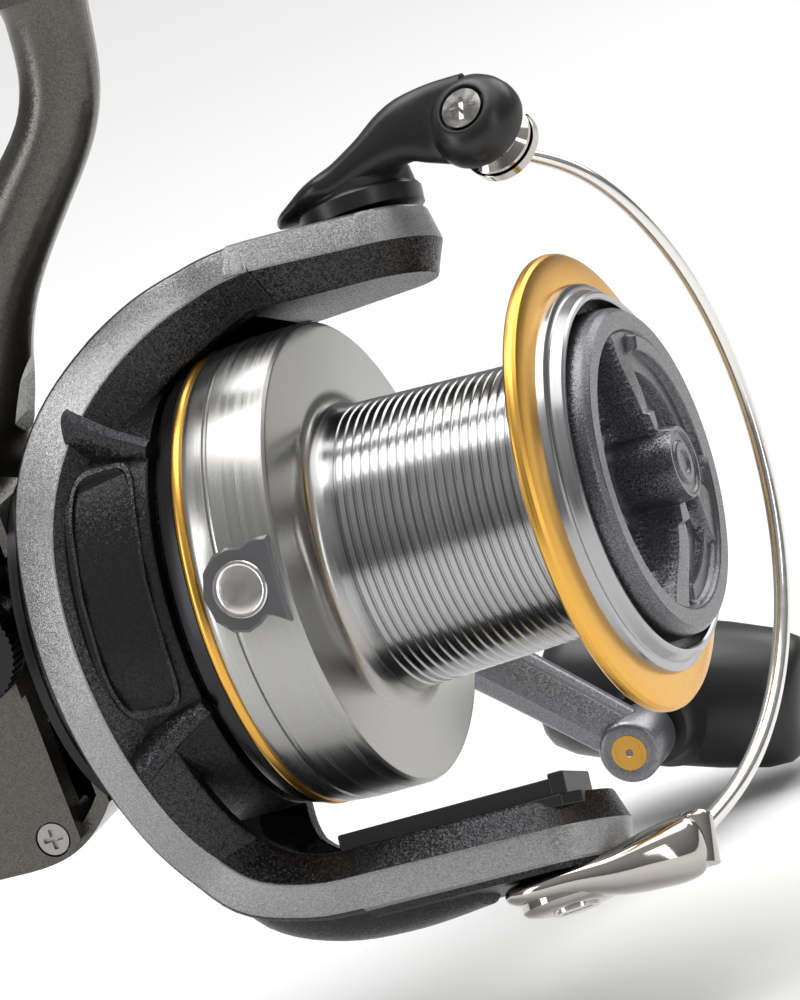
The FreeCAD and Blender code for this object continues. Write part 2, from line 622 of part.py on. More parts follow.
def bail_arm_upper():
    """Moulded arm from the pivot boss up to the line roller."""
    boss = bail_piece(rod(9.2, BAIL_GAP, 5.2, Z), BAIL_TOP, 1, 0.0)
    dome = bail_piece(Part.makeCone(9.2, 7.4, 1.8, V(0, 0, 5.2), Z), BAIL_TOP, 1, 0.0)
    root = BAIL_TOP + V(0.5, -1.0, 3.4)
    end = ROLLER_CAP + ROLLER_AXIS * 3.2
    path = [(0.0, 0.0, 7.4, 3.2), (0.3, 0.10, 5.6, 3.0), (0.62, 0.55, 4.6, 3.0), (1.0, 1.0, 5.6, 2.6)]
    run = end - root
    wires = []
    for t, rise, a, b in path:
        centre = V(root.x + run.x * t, root.y + run.y * t, root.z + run.z * rise)
        up = V(-0.45 - 0.2 * t, 0, 0.9)
        curve = Part.Ellipse(centre + Y * a, centre + up.normalize() * b, centre)
        wires.append(Part.Wire(curve.toShape()))
    lever = Part.makeLoft(wires, True, False)
    head = rod(7.2, 0.8, 6.0, ROLLER_AXIS, ROLLER_CAP).fuse(
        Part.makeCone(6.4, 7.2, 0.9, ROLLER_CAP - ROLLER_AXIS * 0.1, ROLLER_AXIS))
    body = fuse([boss, dome, lever, head])
    body = body.cut(rod(3.9, -2, 1.2, ROLLER_AXIS, ROLLER_CAP))
    body = body.cut(rod(1.5, 0, 12, ROLLER_AXIS, ROLLER_CAP))
    body = body.cut(rod(6.6, 6.05, 16, ROLLER_AXIS, ROLLER_CAP))
    body = body.cut(bail_piece(rod(3.8, 7.0, 20, Z), BAIL_TOP, 1, 0.0))
    return body.cut(bail_piece(rod(2.0, -5, 12, Z), BAIL_TOP, 1, 0.0))


def roller_screw():
    head = rod(3.2, -0.1, 1.2, ROLLER_AXIS, ROLLER_CAP)
    place = frame_at(ROLLER_CAP, ROLLER_AXIS, Z)
    cross = block(-1.9, 1.9, -0.4, 0.4, -0.3, 0.6).fuse(block(-0.4, 0.4, -1.9, 1.9, -0.3, 0.6))
    return head.cut(placed(cross, place)).fuse(rod(1.5, 1.1, 13.6, ROLLER_AXIS, ROLLER_CAP))


def line_roller():
    """Grooved steel roller on its own axis."""
    rows = [(6.5, 1.9), (6.5, 5.6), (7.3, 5.6), (8.4, 4.3), (9.6, 4.3), (10.6, 5.6), (11.2, 5.6), (11.2, 1.9)]
    face = Part.Face(Part.makePolygon([V(r, 0, d) for d, r in rows + rows[:1]]))
    return placed(face.revolve(V(0, 0, 0), Z, 360), frame_at(ROLLER_CAP, ROLLER_AXIS, Z))


def roller_bush():
    return ring(1.85, 1.5, 6.1, 11.5, ROLLER_AXIS, ROLLER_CAP)


def bail_cup():
    """Bright end cup between roller and wire."""
    cup = rod(5.9, 11.6, 13.2, ROLLER_AXIS, ROLLER_CAP).fuse(
        Part.makeCone(5.9, 3.0, 2.0, ROLLER_CAP + ROLLER_AXIS * 13.2, ROLLER_AXIS))
    return cup.cut(rod(1.5, 11, 13.6, ROLLER_AXIS, ROLLER_CAP))


WIRE = [ROLLER_CAP + ROLLER_AXIS * 15.95, V(4.5, 16.0, 46.5), V(9.5, 30.0, 33.5), V(11.5, 40.0, 14.0),
        V(11.0, 43.0, -8.0), V(8.5, 38.0, -28.0), V(5.0, 25.0, -43.5), V(1.5, 9.0, -50.8)]


def bail_wire():
    return bent_rod(WIRE, 1.2, 22.0)


def bail_arm_lower():
    """Polished lever from the lower pivot out to the wire."""
    boss = bail_piece(rod(8.2, BAIL_GAP, 4.6, Z), BAIL_LOW, -1, 0.0)
    root = BAIL_LOW + V(0, 0, -4.2)
    end = WIRE[-1] + V(-0.5, -2.5, -4.4)
    run = end - root
    path = [(0.0, 7.0, 2.0), (0.3, 6.0, 1.9), (0.62, 4.6, 2.0), (1.0, 3.4, 2.6)]
    wires = []
    for t, a, b in path:
        centre = root + run * t
        curve = Part.Ellipse(centre + Y * a, centre + Z * b, centre)
        wires.append(Part.Wire(curve.toShape()))
    lever = Part.makeLoft(wires, True, False)
    post = Part.makeCylinder(3.1, 8.6, end + V(-0.5, 0, -1.9), Z)
    body = fuse([boss, lever, post])
    body = body.cut(bent_rod(WIRE, 1.2, 22.0))
    body = body.cut(bail_piece(rod(3.8, 4.6, 20, Z), BAIL_LOW, -1, 0.0))
    return body.cut(bail_piece(rod(2.0, -5, 12, Z), BAIL_LOW, -1, 0.0))


def pivot_screws():
    """Shouldered screws that hold the bail arms on the rotor."""
    made = []
    for at, sign, top in ((BAIL_TOP, 1, 7.0), (BAIL_LOW, -1, 4.6)):
        screw = rod(2.0, -6.0, top, Z).fuse(rod(3.6, top, top + 1.0, Z))
        screw = screw.cut(block(-2.4, 2.4, -0.4, 0.4, top + 0.4, top + 2))
        made.append(bail_piece(screw, at, sign, 0.0))
    return Part.makeCompound(made)


# ---- main shaft ----------------------------------------------------------------------------
SLIDER_X = OSC_X - CRANK_R


def main_shaft():
    return rod(SHAFT_R, SLIDER_X - 3.5, 3.4).cut(shaft_pin())


def slider():
    body = block(SLIDER_X - 3.0, SLIDER_X + 3.0, -5.0, 3.5, -5.2, 3.5)
    low = OSC_Z - CRANK_R - 1.9
    fork = plate([(SLIDER_X - 4.2, 3.5), (SLIDER_X - 4.2, low + 3.0), (SLIDER_X - 2.4, low),
                  (SLIDER_X + 2.4, low), (SLIDER_X + 4.2, low + 3.0), (SLIDER_X + 4.2, 3.5)], -5.0, -3.2)
    lug = block(SLIDER_X - 3.0, SLIDER_X + 3.0, GUIDE.y - 2.8, GUIDE.y + 2.8, GUIDE.z - 2.8, -4.0)
    body = fuse([body, fork, lug])
    body = body.cut(block(SLIDER_X - 1.6, SLIDER_X + 1.6, -5.1, -3.1, -50, 5).cut(
        block(-200, 0, -5.2, -3.0, -4.6, -3.4)))
    body = body.cut(rod(SHAFT_R, -140, -90)).cut(rod(1.56, -140, -90, X, GUIDE))
    at = V(SLIDER_X, 0, 0)
    return body.cut(rod(1.2, 1.0, 6.0, Z, at)).cut(rod(2.0, 2.9, 6.0, Z, at))


def slider_screw():
    at = V(SLIDER_X, 0, 0)
    return rod(1.2, SHAFT_R + 0.06, 3.0, Z, at).fuse(rod(2.0, 2.9, 3.8, Z, at))


def click_gear():
    body = ring(11.0, SHAFT_R, -43.0, -41.0)
    notch = rod(0.5, -44, -40, X, V(0, 11.1, 0))
    return body.cut(Part.makeCompound(around(notch, 36)))


def shaft_pin():
    return rod(1.0, -8.0, 8.0, Y, V(-44.2, 0, 0))


# ---- spool ---------------------------------------------------------------------------------
GROOVES = 22


def spool():
    outer = [(-2.6, 28.6), (-2.6, BARREL_R_FRONT)]
    front, rear = -4.2, -36.0
    pitch = (front - rear) / GROOVES
    for k in range(GROOVES):
        x = front - pitch * k
        r = BARREL_R_FRONT + (BARREL_R_REAR - BARREL_R_FRONT) * (k + 0.5) / GROOVES
        outer += [(x, r), (x - 0.12 * pitch, r - 0.28), (x - 0.28 * pitch, r - 0.28), (x - 0.4 * pitch, r)]
    outer += [(-37.8, BARREL_R_REAR), (-38.8, 22.4), (-39.4, 23.4), (SKIRT_FRONT, 24.6), (SKIRT_FRONT, 34.7),
              (SKIRT_FRONT - 0.3, 35.4), (SKIRT_FRONT - 1.0, SKIRT_R), (-49.2, SKIRT_R), (-49.5, 35.3),
              (-50.0, 35.3), (-50.3, 35.6), (-52.6, 35.4), (-53.7, 34.9), (-53.7, 33.0), (-58.0, 33.0),
              (-58.0, 32.0)]
    inner = [(-41.8, 32.0), (-41.8, 18.6), (-9.0, 18.6), (-9.0, 9.0), (-40.4, 9.0), (-40.4, 5.0), (-6.4, 5.0),
             (-6.4, 17.0), (-1.2, 17.0), (-1.2, 26.5), (0.0, 26.5), (0.0, 28.6)]
    return turned(outer + inner)


def lip_ring():
    rows = [(0.0, 28.6), (1.1, 28.6), (1.1, 33.0), (0.75, 34.3), (0.0, 34.9), (-0.9, LIP_R), (-1.9, 34.7),
            (-2.5, 33.9), (-2.6, 32.8), (-2.6, 28.6)]
    return turned(rows)


def front_rim():
    rows = [(0.0, 26.5), (5.0, 26.5), (5.3, 26.8), (5.3, 27.5), (4.9, 27.9), (3.2, 28.4), (3.0, 29.4),
            (1.9, 29.8), (1.1, 29.8), (1.1, 28.6), (0.0, 28.6)]
    return turned(rows)


def skirt_gold_ring():
    return turned([(-53.7, 33.0), (-53.7, 35.1), (-54.2, 35.3), (-54.9, 35.2), (-55.3, 34.9), (-55.3, 33.0)])


def skirt_black_ring():
    return turned([(-55.3, 33.0), (-55.3, 34.7), (-57.4, 34.4), (SKIRT_REAR, 33.6), (SKIRT_REAR, 32.0),
                   (-58.0, 32.0), (-58.0, 33.0)])


def spool_bush():
    return ring(5.0, SHAFT_R + 0.05, -40.0, -6.8)


def washers(r_out, spans):
    return Part.makeCompound([ring(r_out, SHAFT_R + 0.4, a, b) for a, b in spans])


def line_clip(side):
    """Thin sprung plate on the skirt, pointed to the front, round behind."""
    outline = [(-40.6, -6.2), (-40.6, 6.4), (-43.4, 3.6), (-46.0, 6.9), (-49.5, 6.4), (-52.2, 3.8),
               (-53.2, 0.0), (-52.2, -3.8), (-49.5, -6.4), (-46.0, -6.9), (-43.4, -7.2)]
    body = plate(outline, 30, 40)
    shell = ring(SKIRT_R + 1.35, SKIRT_R + 0.10, -60, -30)
    body = body.common(shell).cut(rod(4.35, 20, 50, Y, V(CLIP_X, 0, 0)))
    return spun(body, 0 if side > 0 else 180)


def clip_button(side):
    at = V(CLIP_X, 0, 0)
    head = rod(4.3, 35.9, 37.5, Y, at).cut(ring(3.5, 2.9, 37.2, 38, Y, at))
    button = head.cut(rod(SKIRT_R + 0.10, -60, -30)).common(rod(SKIRT_R + 1.4, -60, -30))
    return spun(button, 0 if side > 0 else 180)


# ---- drag knob -----------------------------------------------------------------------------
def crescent(start, stop, r_in, r_out, depth):
    """Pit between two radii over an arc of degrees, sunk from the knob's face."""
    body = ring(r_out, r_in, 7.4 - depth, 12)
    wedge = [V(0, 0, 0)]
    for k in range(9):
        a = math.radians(start + (stop - start) * k / 8.0)
        wedge.append(V(0, 60 * math.cos(a), 60 * math.sin(a)))
    solid = Part.Face(Part.makePolygon(wedge + wedge[:1])).extrude(V(20, 0, 0))
    return body.common(solid)


def drag_knob():
    body = turned([(-0.9, 0), (-0.9, 14.6), (0.3, 14.6), (0.3, 25.3), (6.8, 25.3), (7.6, 24.4), (7.9, 22.6),
                   (7.4, 21.4), (6.2, 20.6), (6.2, 10.5), (7.4, 8.4), (10.2, 7.4), (11.0, 6.6), (11.0, 4.6),
                   (10.4, 4.4), (10.4, 3.2), (11.0, 3.0), (11.0, 0)])
    for start in (20, 140, 260):
        body = body.cut(crescent(start, start + 74, 9.8, 20.4, 4.2))
    body = body.cut(rod(SHAFT_R + GAP, -5, 3.8))
    return body.cut(hex_head(5.2, -1.5, 2.4))


def knob_nut():
    return hex_head(5.1, -0.8, 2.3).cut(rod(SHAFT_R, -5, 5))


# ---- assembly ------------------------------------------------------------------------------
def build():
    fixed = {
        "body_housing": housing(), "side_cover": side_cover(), "rear_cover": rear_cover(),
        "body_screws": body_screws(), "handle_screw_cap": handle_screw_cap(),
        "handle_cap_disc": handle_cap_disc(), "nose_trim_ring": nose_trim(),
        "drive_bearings": drive_bearings(), "pinion_bearings": pinion_bearings(),
        "one_way_clutch": one_way_clutch(), "clutch_retainer": clutch_retainer(),
        "oscillation_axle": oscillation_axle(), "guide_rod": guide_rod(),
        "drive_gear": drive_gear(), "handle_shank": handle_shank(), "handle_arm": handle_arm(),
        "handle_screw": handle_screw(), "knuckle_cap": knuckle_cap(), "knob_shaft": knob_shaft(),
        "handle_knob": handle_knob(), "knob_bearings": knob_bearings(), "knob_end_cap": knob_end_cap(),
        "knob_screw": knob_screw(), "oscillation_gear": oscillation_gear(),
        "main_shaft": main_shaft(), "oscillation_slider": slider(), "slider_screw": slider_screw(),
        "click_gear": click_gear(), "shaft_pin": shaft_pin(),
        "spool": spool(), "spool_lip_ring": lip_ring(), "spool_front_rim": front_rim(),
        "skirt_gold_ring": skirt_gold_ring(), "skirt_black_ring": skirt_black_ring(),
        "spool_bush": spool_bush(),
        "drag_washers_metal": washers(14.5, [(-5.4, -4.6), (-3.6, -2.8), (-1.8, -1.0)]),
        "drag_washers_felt": washers(14.5, [(-6.4, -5.4), (-4.6, -3.6), (-2.8, -1.8)]),
        "drag_knob": drag_knob(), "drag_nut": knob_nut(),
    }
    rotating = {
        "rotor": rotor(), "pinion_gear": pinion_gear(), "clutch_sleeve": clutch_sleeve(),
        "rotor_nut": rotor_nut(), "rotor_brake_ring": brake_ring(), "bail_spring": bail_spring(),
        "arm_cover_upper": arm_cover_upper(), "arm_cover_lower": arm_cover_lower(),
        "arm_cover_screws": cover_screws(),
        "bail_arm_upper": bail_arm_upper(), "bail_arm_lower": bail_arm_lower(), "bail_wire": bail_wire(),
        "bail_cup": bail_cup(), "roller_screw": roller_screw(), "roller_bush": roller_bush(),
        "bail_pivot_screws": pivot_screws(), "line_roller": line_roller(),
    }
    turned_with_spool = {
        "line_clip_1": line_clip(-1), "clip_button_1": clip_button(-1),
        "line_clip_2": line_clip(1), "clip_button_2": clip_button(1),
    }
    nodes = dict(fixed)
    for name, shape in rotating.items():
        nodes[name] = shape if name == "pinion_gear" else spun(shape, ROTOR_REST)
    for name, shape in turned_with_spool.items():
        nodes[name] = spun(shape, CLIP_LEAN)
    return nodes


def main():
    os.makedirs("parts", exist_ok=True)
    shift = V(-FOOT_X, 0, -FOOT_HEIGHT)
    for name, shape in build().items():
        shape = shape.copy()
        shape.translate(shift)
        print(name, shape.isValid(), len(shape.Solids), round(shape.Volume, 1))
        shape.exportStep("parts/%s.step" % name)


main()
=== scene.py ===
import json
import math

import bmesh
import bpy
from mathutils import Matrix, Vector


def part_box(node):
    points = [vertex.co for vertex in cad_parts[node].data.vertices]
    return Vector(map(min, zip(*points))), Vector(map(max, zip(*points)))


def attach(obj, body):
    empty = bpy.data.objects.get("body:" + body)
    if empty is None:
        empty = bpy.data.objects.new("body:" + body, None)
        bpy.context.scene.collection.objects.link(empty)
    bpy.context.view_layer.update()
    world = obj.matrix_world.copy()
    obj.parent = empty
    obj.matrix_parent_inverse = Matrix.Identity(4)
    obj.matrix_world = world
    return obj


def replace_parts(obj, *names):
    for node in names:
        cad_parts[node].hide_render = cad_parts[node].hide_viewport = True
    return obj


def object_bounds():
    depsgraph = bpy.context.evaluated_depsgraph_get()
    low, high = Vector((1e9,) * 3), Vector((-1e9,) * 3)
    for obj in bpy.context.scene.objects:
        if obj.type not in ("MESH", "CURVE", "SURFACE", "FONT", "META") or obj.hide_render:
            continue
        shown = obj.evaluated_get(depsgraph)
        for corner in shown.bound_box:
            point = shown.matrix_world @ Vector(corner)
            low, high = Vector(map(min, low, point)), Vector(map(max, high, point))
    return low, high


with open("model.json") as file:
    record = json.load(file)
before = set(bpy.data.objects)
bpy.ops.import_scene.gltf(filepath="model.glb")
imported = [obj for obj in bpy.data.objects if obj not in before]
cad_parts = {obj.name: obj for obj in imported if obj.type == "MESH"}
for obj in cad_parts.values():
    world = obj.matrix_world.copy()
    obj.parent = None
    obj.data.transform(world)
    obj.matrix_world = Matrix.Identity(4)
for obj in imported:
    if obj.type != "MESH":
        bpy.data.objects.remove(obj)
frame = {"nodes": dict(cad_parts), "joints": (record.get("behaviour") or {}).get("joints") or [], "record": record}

CAD_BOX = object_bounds()
MM = 0.001
JOINTS = {j["name"]: j for j in frame["joints"]}

# Three working frames, all in millimetres: REEL has x = 0 at the spool lip and the spool axis along X,
# ROTOR is REEL turned to the rotor's rest angle, SPOOL is REEL turned to the line clips.
LIP_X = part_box("spool")[1].x
AXIS_Z = JOINTS["rotor_spin"]["pos_m"][2]
REEL = Matrix.Translation((LIP_X, 0, AXIS_Z)) @ Matrix.Scale(MM, 4)


def leaning(direction):
    """Turn about X that brings +Z to a direction."""
    return Matrix.Rotation(-math.atan2(direction[1], direction[2]), 4, "X")


ROTOR = REEL @ leaning(JOINTS["bail_flip"]["axis"])
CLIP_SIDE = JOINTS["clip_2_lift"]["axis"]
SPOOL = REEL @ Matrix.Rotation(math.atan2(CLIP_SIDE[2], CLIP_SIDE[1]), 4, "X")


# ---- mesh helpers --------------------------------------------------------------------------
def piece(name, verts, faces, place, body, paint, smooth=35, marks=None):
    """Mesh object riding on a body. marks gives each face's material number when paint is a list."""
    mesh = bpy.data.meshes.new(name)
    mesh.from_pydata([place @ Vector(v) for v in verts], [], faces)
    paints = paint if isinstance(paint, list) else [paint]
    for p in paints:
        mesh.materials.append(p)
    if marks:
        mesh.polygons.foreach_set("material_index", marks)
    build = bmesh.new()
    build.from_mesh(mesh)
    bmesh.ops.recalc_face_normals(build, faces=build.faces)
    build.to_mesh(mesh)
    build.free()
    mesh.shade_smooth()
    mesh.set_sharp_from_angle(angle=math.radians(smooth))
    made = bpy.data.objects.new(name, mesh)
    bpy.context.scene.collection.objects.link(made)
    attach(made, body)
    return made


def bevelled(made, width, segments=3, angle=30):
    """Rounds the edges that are sharper than an angle, by a width in millimetres."""
    mod = made.modifiers.new("edge", "BEVEL")
    mod.width = width * MM
    mod.segments = segments
    mod.limit_method = "ANGLE"
    mod.angle_limit = math.radians(angle)
    mod.harden_normals = True
    mod.use_clamp_overlap = True
    return made


def skin(rings, closed=False, caps=True):
    """Vertices and faces through rings of points. closed joins the last ring to the first."""
    n = len(rings[0])
    verts = [p for r in rings for p in r]
    faces = []
    for i in range(len(rings) - (0 if closed else 1)):
        a, b = i * n, (i + 1) % len(rings) * n
        faces += [(a + k, a + (k + 1) % n, b + (k + 1) % n, b + k) for k in range(n)]
    if caps and not closed:
        faces.append(tuple(reversed(range(n))))
        faces.append(tuple(range((len(rings) - 1) * n, len(rings) * n)))
    return verts, faces


def lathe(name, outline, place, body, paint, segments=160, smooth=28, marks=None):
    """Closed outline of (x, radius) turned about the spool axis."""
    rings = []
    for k in range(segments):
        a = 2 * math.pi * k / segments
        rings.append([(x, r * math.cos(a), r * math.sin(a)) for x, r in outline])
    verts, faces = skin(rings, closed=True)
    number = marks * segments if marks else None
    return piece(name, verts, faces, place, body, paint, smooth, number)


def eased(points, steps):
    """Smooth run through rows of numbers, with a few rows between each two."""
    rows = []
    for i in range(len(points) - 1):
        p0, p1 = points[max(i - 1, 0)], points[i]
        p2, p3 = points[i + 1], points[min(i + 2, len(points) - 1)]
        for s in range(steps):
            t = s / steps
            rows.append([0.5 * (2 * b + (c - a) * t + (2 * a - 5 * b + 4 * c - d) * t * t
                                + (3 * b - a - 3 * c + d) * t ** 3)
                         for a, b, c, d in zip(p0, p1, p2, p3)])
    rows.append(list(points[-1]))
    return rows


def drawn(points, steps):
    """Round curve inside a control polygon, starting and ending at its ends."""
    held = [points[0]] * 2 + list(points) + [points[-1]] * 2
    rows = []
    for p0, p1, p2, p3 in zip(held, held[1:], held[2:], held[3:]):
        for s in range(steps):
            t = s / steps
            weights = ((1 - t) ** 3 / 6, (3 * t ** 3 - 6 * t * t + 4) / 6,
                       (-3 * t ** 3 + 3 * t * t + 3 * t + 1) / 6, t ** 3 / 6)
            rows.append([sum(w * v for w, v in zip(weights, column)) for column in zip(p0, p1, p2, p3)])
    rows.append(list(points[-1]))
    return rows


def across(direction, hint):
    """Two unit vectors square to a direction, the first leaning to hint."""
    d = Vector(direction).normalized()
    side = (Vector(hint) - d * d.dot(Vector(hint))).normalized()
    return side, d.cross(side)


def oval_rings(rows, hint, count=32, power=2.0):
    """Rings of ovals along rows of x, y, z, half size along hint, half size across."""
    rings = []
    for i, row in enumerate(rows):
        before, after = rows[max(i - 1, 0)], rows[min(i + 1, len(rows) - 1)]
        run = Vector(after[:3]) - Vector(before[:3])
        u, w = across(run, hint)
        ring = []
        for k in range(count):
            a = 2 * math.pi * k / count
            c, s = math.cos(a), math.sin(a)
            e = 2.0 / power
            ring.append(Vector(row[:3]) + u * (row[3] * math.copysign(abs(c) ** e, c))
                        + w * (row[4] * math.copysign(abs(s) ** e, s)))
        rings.append(ring)
    return rings


def disc_rings(rows, origin, axis, hint, count=48):
    """Round rings along an axis from rows of (distance, radius)."""
    d = Vector(axis).normalized()
    u, w = across(d, hint)
    return [[Vector(origin) + d * x + u * (r * math.cos(2 * math.pi * k / count))
             + w * (r * math.sin(2 * math.pi * k / count)) for k in range(count)] for x, r in rows]


def smoothstep(a, b, x):
    t = min(max((x - a) / (b - a), 0.0), 1.0)
    return t * t * (3 - 2 * t)


# ---- materials -----------------------------------------------------------------------------
MIX_FACTOR, MIX_A, MIX_B = 0, 6, 7      # a colour mix node's sockets
MIX_RESULT = 2


class Paint:
    """A node material with one Principled shader and small builders for its textures."""

    def __init__(self, name, color, metallic=0.0, roughness=0.4, **constants):
        self.material = bpy.data.materials.new(name)
        self.material.use_nodes = True
        self.nodes = self.material.node_tree.nodes
        self.links = self.material.node_tree.links
        self.shader = self.nodes["Principled BSDF"]
        self.color = color
        self.place = self.node("ShaderNodeTexCoord").outputs["Object"]
        self.shader.inputs["Base Color"].default_value = (*color, 1)
        self.shader.inputs["Metallic"].default_value = metallic
        self.shader.inputs["Roughness"].default_value = roughness
        for key, value in constants.items():
            self.shader.inputs[key.replace("_", " ")].default_value = value

    def node(self, kind, **values):
        made = self.nodes.new(kind)
        for key, value in values.items():
            if hasattr(made, key):
                setattr(made, key, value)
            else:
                made.inputs[key].default_value = value
        return made

    def join(self, out, to):
        self.links.new(out, to)

    def noise(self, per_mm, detail=3.0, stretch=None):
        """Noise with a number of blobs per millimetre, stretched along X, Y and Z if wanted."""
        source = self.place
        if stretch:
            mapping = self.node("ShaderNodeMapping")
            mapping.inputs["Scale"].default_value = stretch
            self.join(source, mapping.inputs["Vector"])
            source = mapping.outputs["Vector"]
        made = self.node("ShaderNodeTexNoise", Scale=per_mm / MM, Detail=detail)
        self.join(source, made.inputs["Vector"])
        return made.outputs["Fac"]

    def ramp(self, value, low, high, to_low, to_high):
        made = self.node("ShaderNodeMapRange")
        self.join(value, made.inputs["Value"])
        for key, number in zip(("From Min", "From Max", "To Min", "To Max"), (low, high, to_low, to_high)):
            made.inputs[key].default_value = number
        return made.outputs["Result"]

    def shaded(self, value, dark, light):
        """Base colour running from dark to light times the colour, by a value from 0 to 1."""
        made = self.node("ShaderNodeMix", data_type="RGBA")
        made.inputs[MIX_A].default_value = (*[c * dark for c in self.color], 1)
        made.inputs[MIX_B].default_value = (*[min(c * light, 1) for c in self.color], 1)
        self.join(value, made.inputs[MIX_FACTOR])
        self.join(made.outputs[MIX_RESULT], self.shader.inputs["Base Color"])
        return self

    def rough(self, value, low, high):
        self.join(self.ramp(value, 0.3, 0.7, low, high), self.shader.inputs["Roughness"])
        return self

    def bump(self, value, strength, height):
        """Bump with a height in millimetres."""
        made = self.node("ShaderNodeBump", Strength=strength, Distance=height * MM)
        self.join(value, made.inputs["Height"])
        self.join(made.outputs["Normal"], self.shader.inputs["Normal"])
        return self

    def turned(self, amount):
        """Machining marks round the X axis, as highlights that fan out."""
        tangent = self.node("ShaderNodeTangent", direction_type="RADIAL", axis="X")
        self.join(tangent.outputs["Tangent"], self.shader.inputs["Tangent"])
        self.shader.inputs["Anisotropic"].default_value = amount
        return self

    def flakes(self, per_mm, dark, light, tilt):
        """Metallic flakes: cells that each have their own shade and lean."""
        cells = self.node("ShaderNodeTexVoronoi", Scale=per_mm / MM)
        self.join(self.place, cells.inputs["Vector"])
        channel = self.node("ShaderNodeSeparateColor")
        self.join(cells.outputs["Color"], channel.inputs["Color"])
        self.shaded(channel.outputs["Red"], dark, light)
        lean = self.node("ShaderNodeVectorMath", operation="SUBTRACT")
        lean.inputs[1].default_value = (0.5, 0.5, 0.5)
        self.join(cells.outputs["Color"], lean.inputs[0])
        scale = self.node("ShaderNodeVectorMath", operation="SCALE")
        scale.inputs["Scale"].default_value = tilt
        self.join(lean.outputs[0], scale.inputs[0])
        normal = self.node("ShaderNodeNewGeometry").outputs["Normal"]
        total = self.node("ShaderNodeVectorMath", operation="ADD")
        self.join(scale.outputs[0], total.inputs[0])
        self.join(normal, total.inputs[1])
        unit = self.node("ShaderNodeVectorMath", operation="NORMALIZE")
        self.join(total.outputs[0], unit.inputs[0])
        self.join(unit.outputs[0], self.shader.inputs["Normal"])
        return self


def flake_paint(name, color, per_mm, dark, light, tilt, roughness, coat=0.35):
    paint = Paint(name, color, 0.85, roughness, Coat_Weight=coat, Coat_Roughness=0.22)
    return paint.flakes(per_mm, dark, light, tilt).material


def turned_metal(name, color, roughness, marks, anisotropy):
    paint = Paint(name, color, 1.0, roughness)
    lines = paint.noise(0.9, 4.0, (marks, 0.02, 0.02))
    paint.shaded(lines, 0.88, 1.08).rough(lines, roughness * 0.8, roughness * 1.3)
    return paint.turned(anisotropy).bump(lines, 0.08, 0.01).material


def moulded(name, color, roughness, grain, **constants):
    paint = Paint(name, color, 0.0, roughness, **constants)
    fine = paint.noise(grain, 4.0)
    paint.shaded(paint.noise(0.08, 3.0), 0.85, 1.15)
    paint.rough(fine, roughness * 0.85, roughness * 1.2)
    return paint.bump(fine, 0.12, 0.02).material


def plain_metal(name, color, roughness, scuffs=0.5):
    paint = Paint(name, color, 1.0, roughness)
    fine = paint.noise(scuffs, 5.0)
    paint.shaded(fine, 0.93, 1.05)
    paint.rough(fine, roughness * 0.75, roughness * 1.4)
    return paint.bump(fine, 0.04, 0.01).material


PAINT_CRANK = flake_paint("paint_crank", (0.20, 0.20, 0.215), 7.0, 0.7, 1.4, 0.22, 0.34)
PAINT_DARK = flake_paint("paint_dark", (0.017, 0.017, 0.0185), 5.0, 0.3, 3.6, 0.42, 0.36, 0.12)
# Painted shade: a near-black copy of the rotor paint for the drum, the panel recesses and the arm ends, standing for
# the shadow they lie in.
PAINT_SHADE = flake_paint("paint_painted_shade", (0.012, 0.012, 0.013), 5.0, 0.5, 2.2, 0.35, 0.4, 0.1)
PAINT_LIGHT = flake_paint("paint_light", (0.27, 0.27, 0.275), 7.5, 0.7, 1.4, 0.28, 0.42)
PAINT_BODY = flake_paint("paint_body", (0.085, 0.080, 0.070), 7.0, 0.65, 1.5, 0.16, 0.26)
PAINT_KNOB = flake_paint("paint_knob", (0.10, 0.10, 0.108), 7.0, 0.6, 1.6, 0.24, 0.3)
SPOOL_METAL = turned_metal("spool_metal", (0.40, 0.395, 0.385), 0.24, 1.6, 0.6)
BARREL_METAL = turned_metal("barrel_metal", (0.42, 0.42, 0.42), 0.17, 2.5, 0.45)
RIM_METAL = turned_metal("rim_metal", (0.42, 0.42, 0.43), 0.2, 2.0, 0.55)
GOLD = turned_metal("gold_anodised", (0.80, 0.44, 0.09), 0.3, 2.0, 0.3)
BLACK_METAL = turned_metal("black_anodised", (0.035, 0.035, 0.037), 0.3, 2.0, 0.3)
BLACK_PLASTIC = moulded("black_plastic", (0.012, 0.012, 0.013), 0.32, 2.2, Specular_IOR_Level=0.4)
GREY_PLASTIC = moulded("grey_plastic", (0.09, 0.09, 0.095), 0.22, 1.5, Coat_Weight=0.5)
KNOB_BLACK = moulded("knob_black", (0.010, 0.010, 0.011), 0.34, 3.0, Specular_IOR_Level=0.45)
CHROME = plain_metal("chrome", (0.50, 0.475, 0.44), 0.07, 0.15)
STEEL = plain_metal("polished_steel", (0.80, 0.78, 0.75), 0.16)
DARK_STEEL = plain_metal("dark_steel", (0.34, 0.33, 0.32), 0.32)
BRASS = plain_metal("brass", (0.78, 0.58, 0.26), 0.26)
FELT = moulded("felt", (0.20, 0.17, 0.14), 0.9, 4.0)

CAD_PAINT = {
    "paint_gunmetal": PAINT_BODY, "machined_aluminium": RIM_METAL, "gold_anodised": GOLD,
    "black_anodised": BLACK_METAL, "satin_black_plastic": BLACK_PLASTIC, "gloss_grey_plastic": GREY_PLASTIC,
    "chrome": CHROME, "polished_steel": STEEL, "dark_steel": DARK_STEEL, "brass": BRASS,
    "knob_rubber": KNOB_BLACK, "felt": FELT,
}


CAD_PAINT_BY_NODE = {"nose_trim_ring": BLACK_METAL, "side_cover": PAINT_BODY, "body_screws": DARK_STEEL}


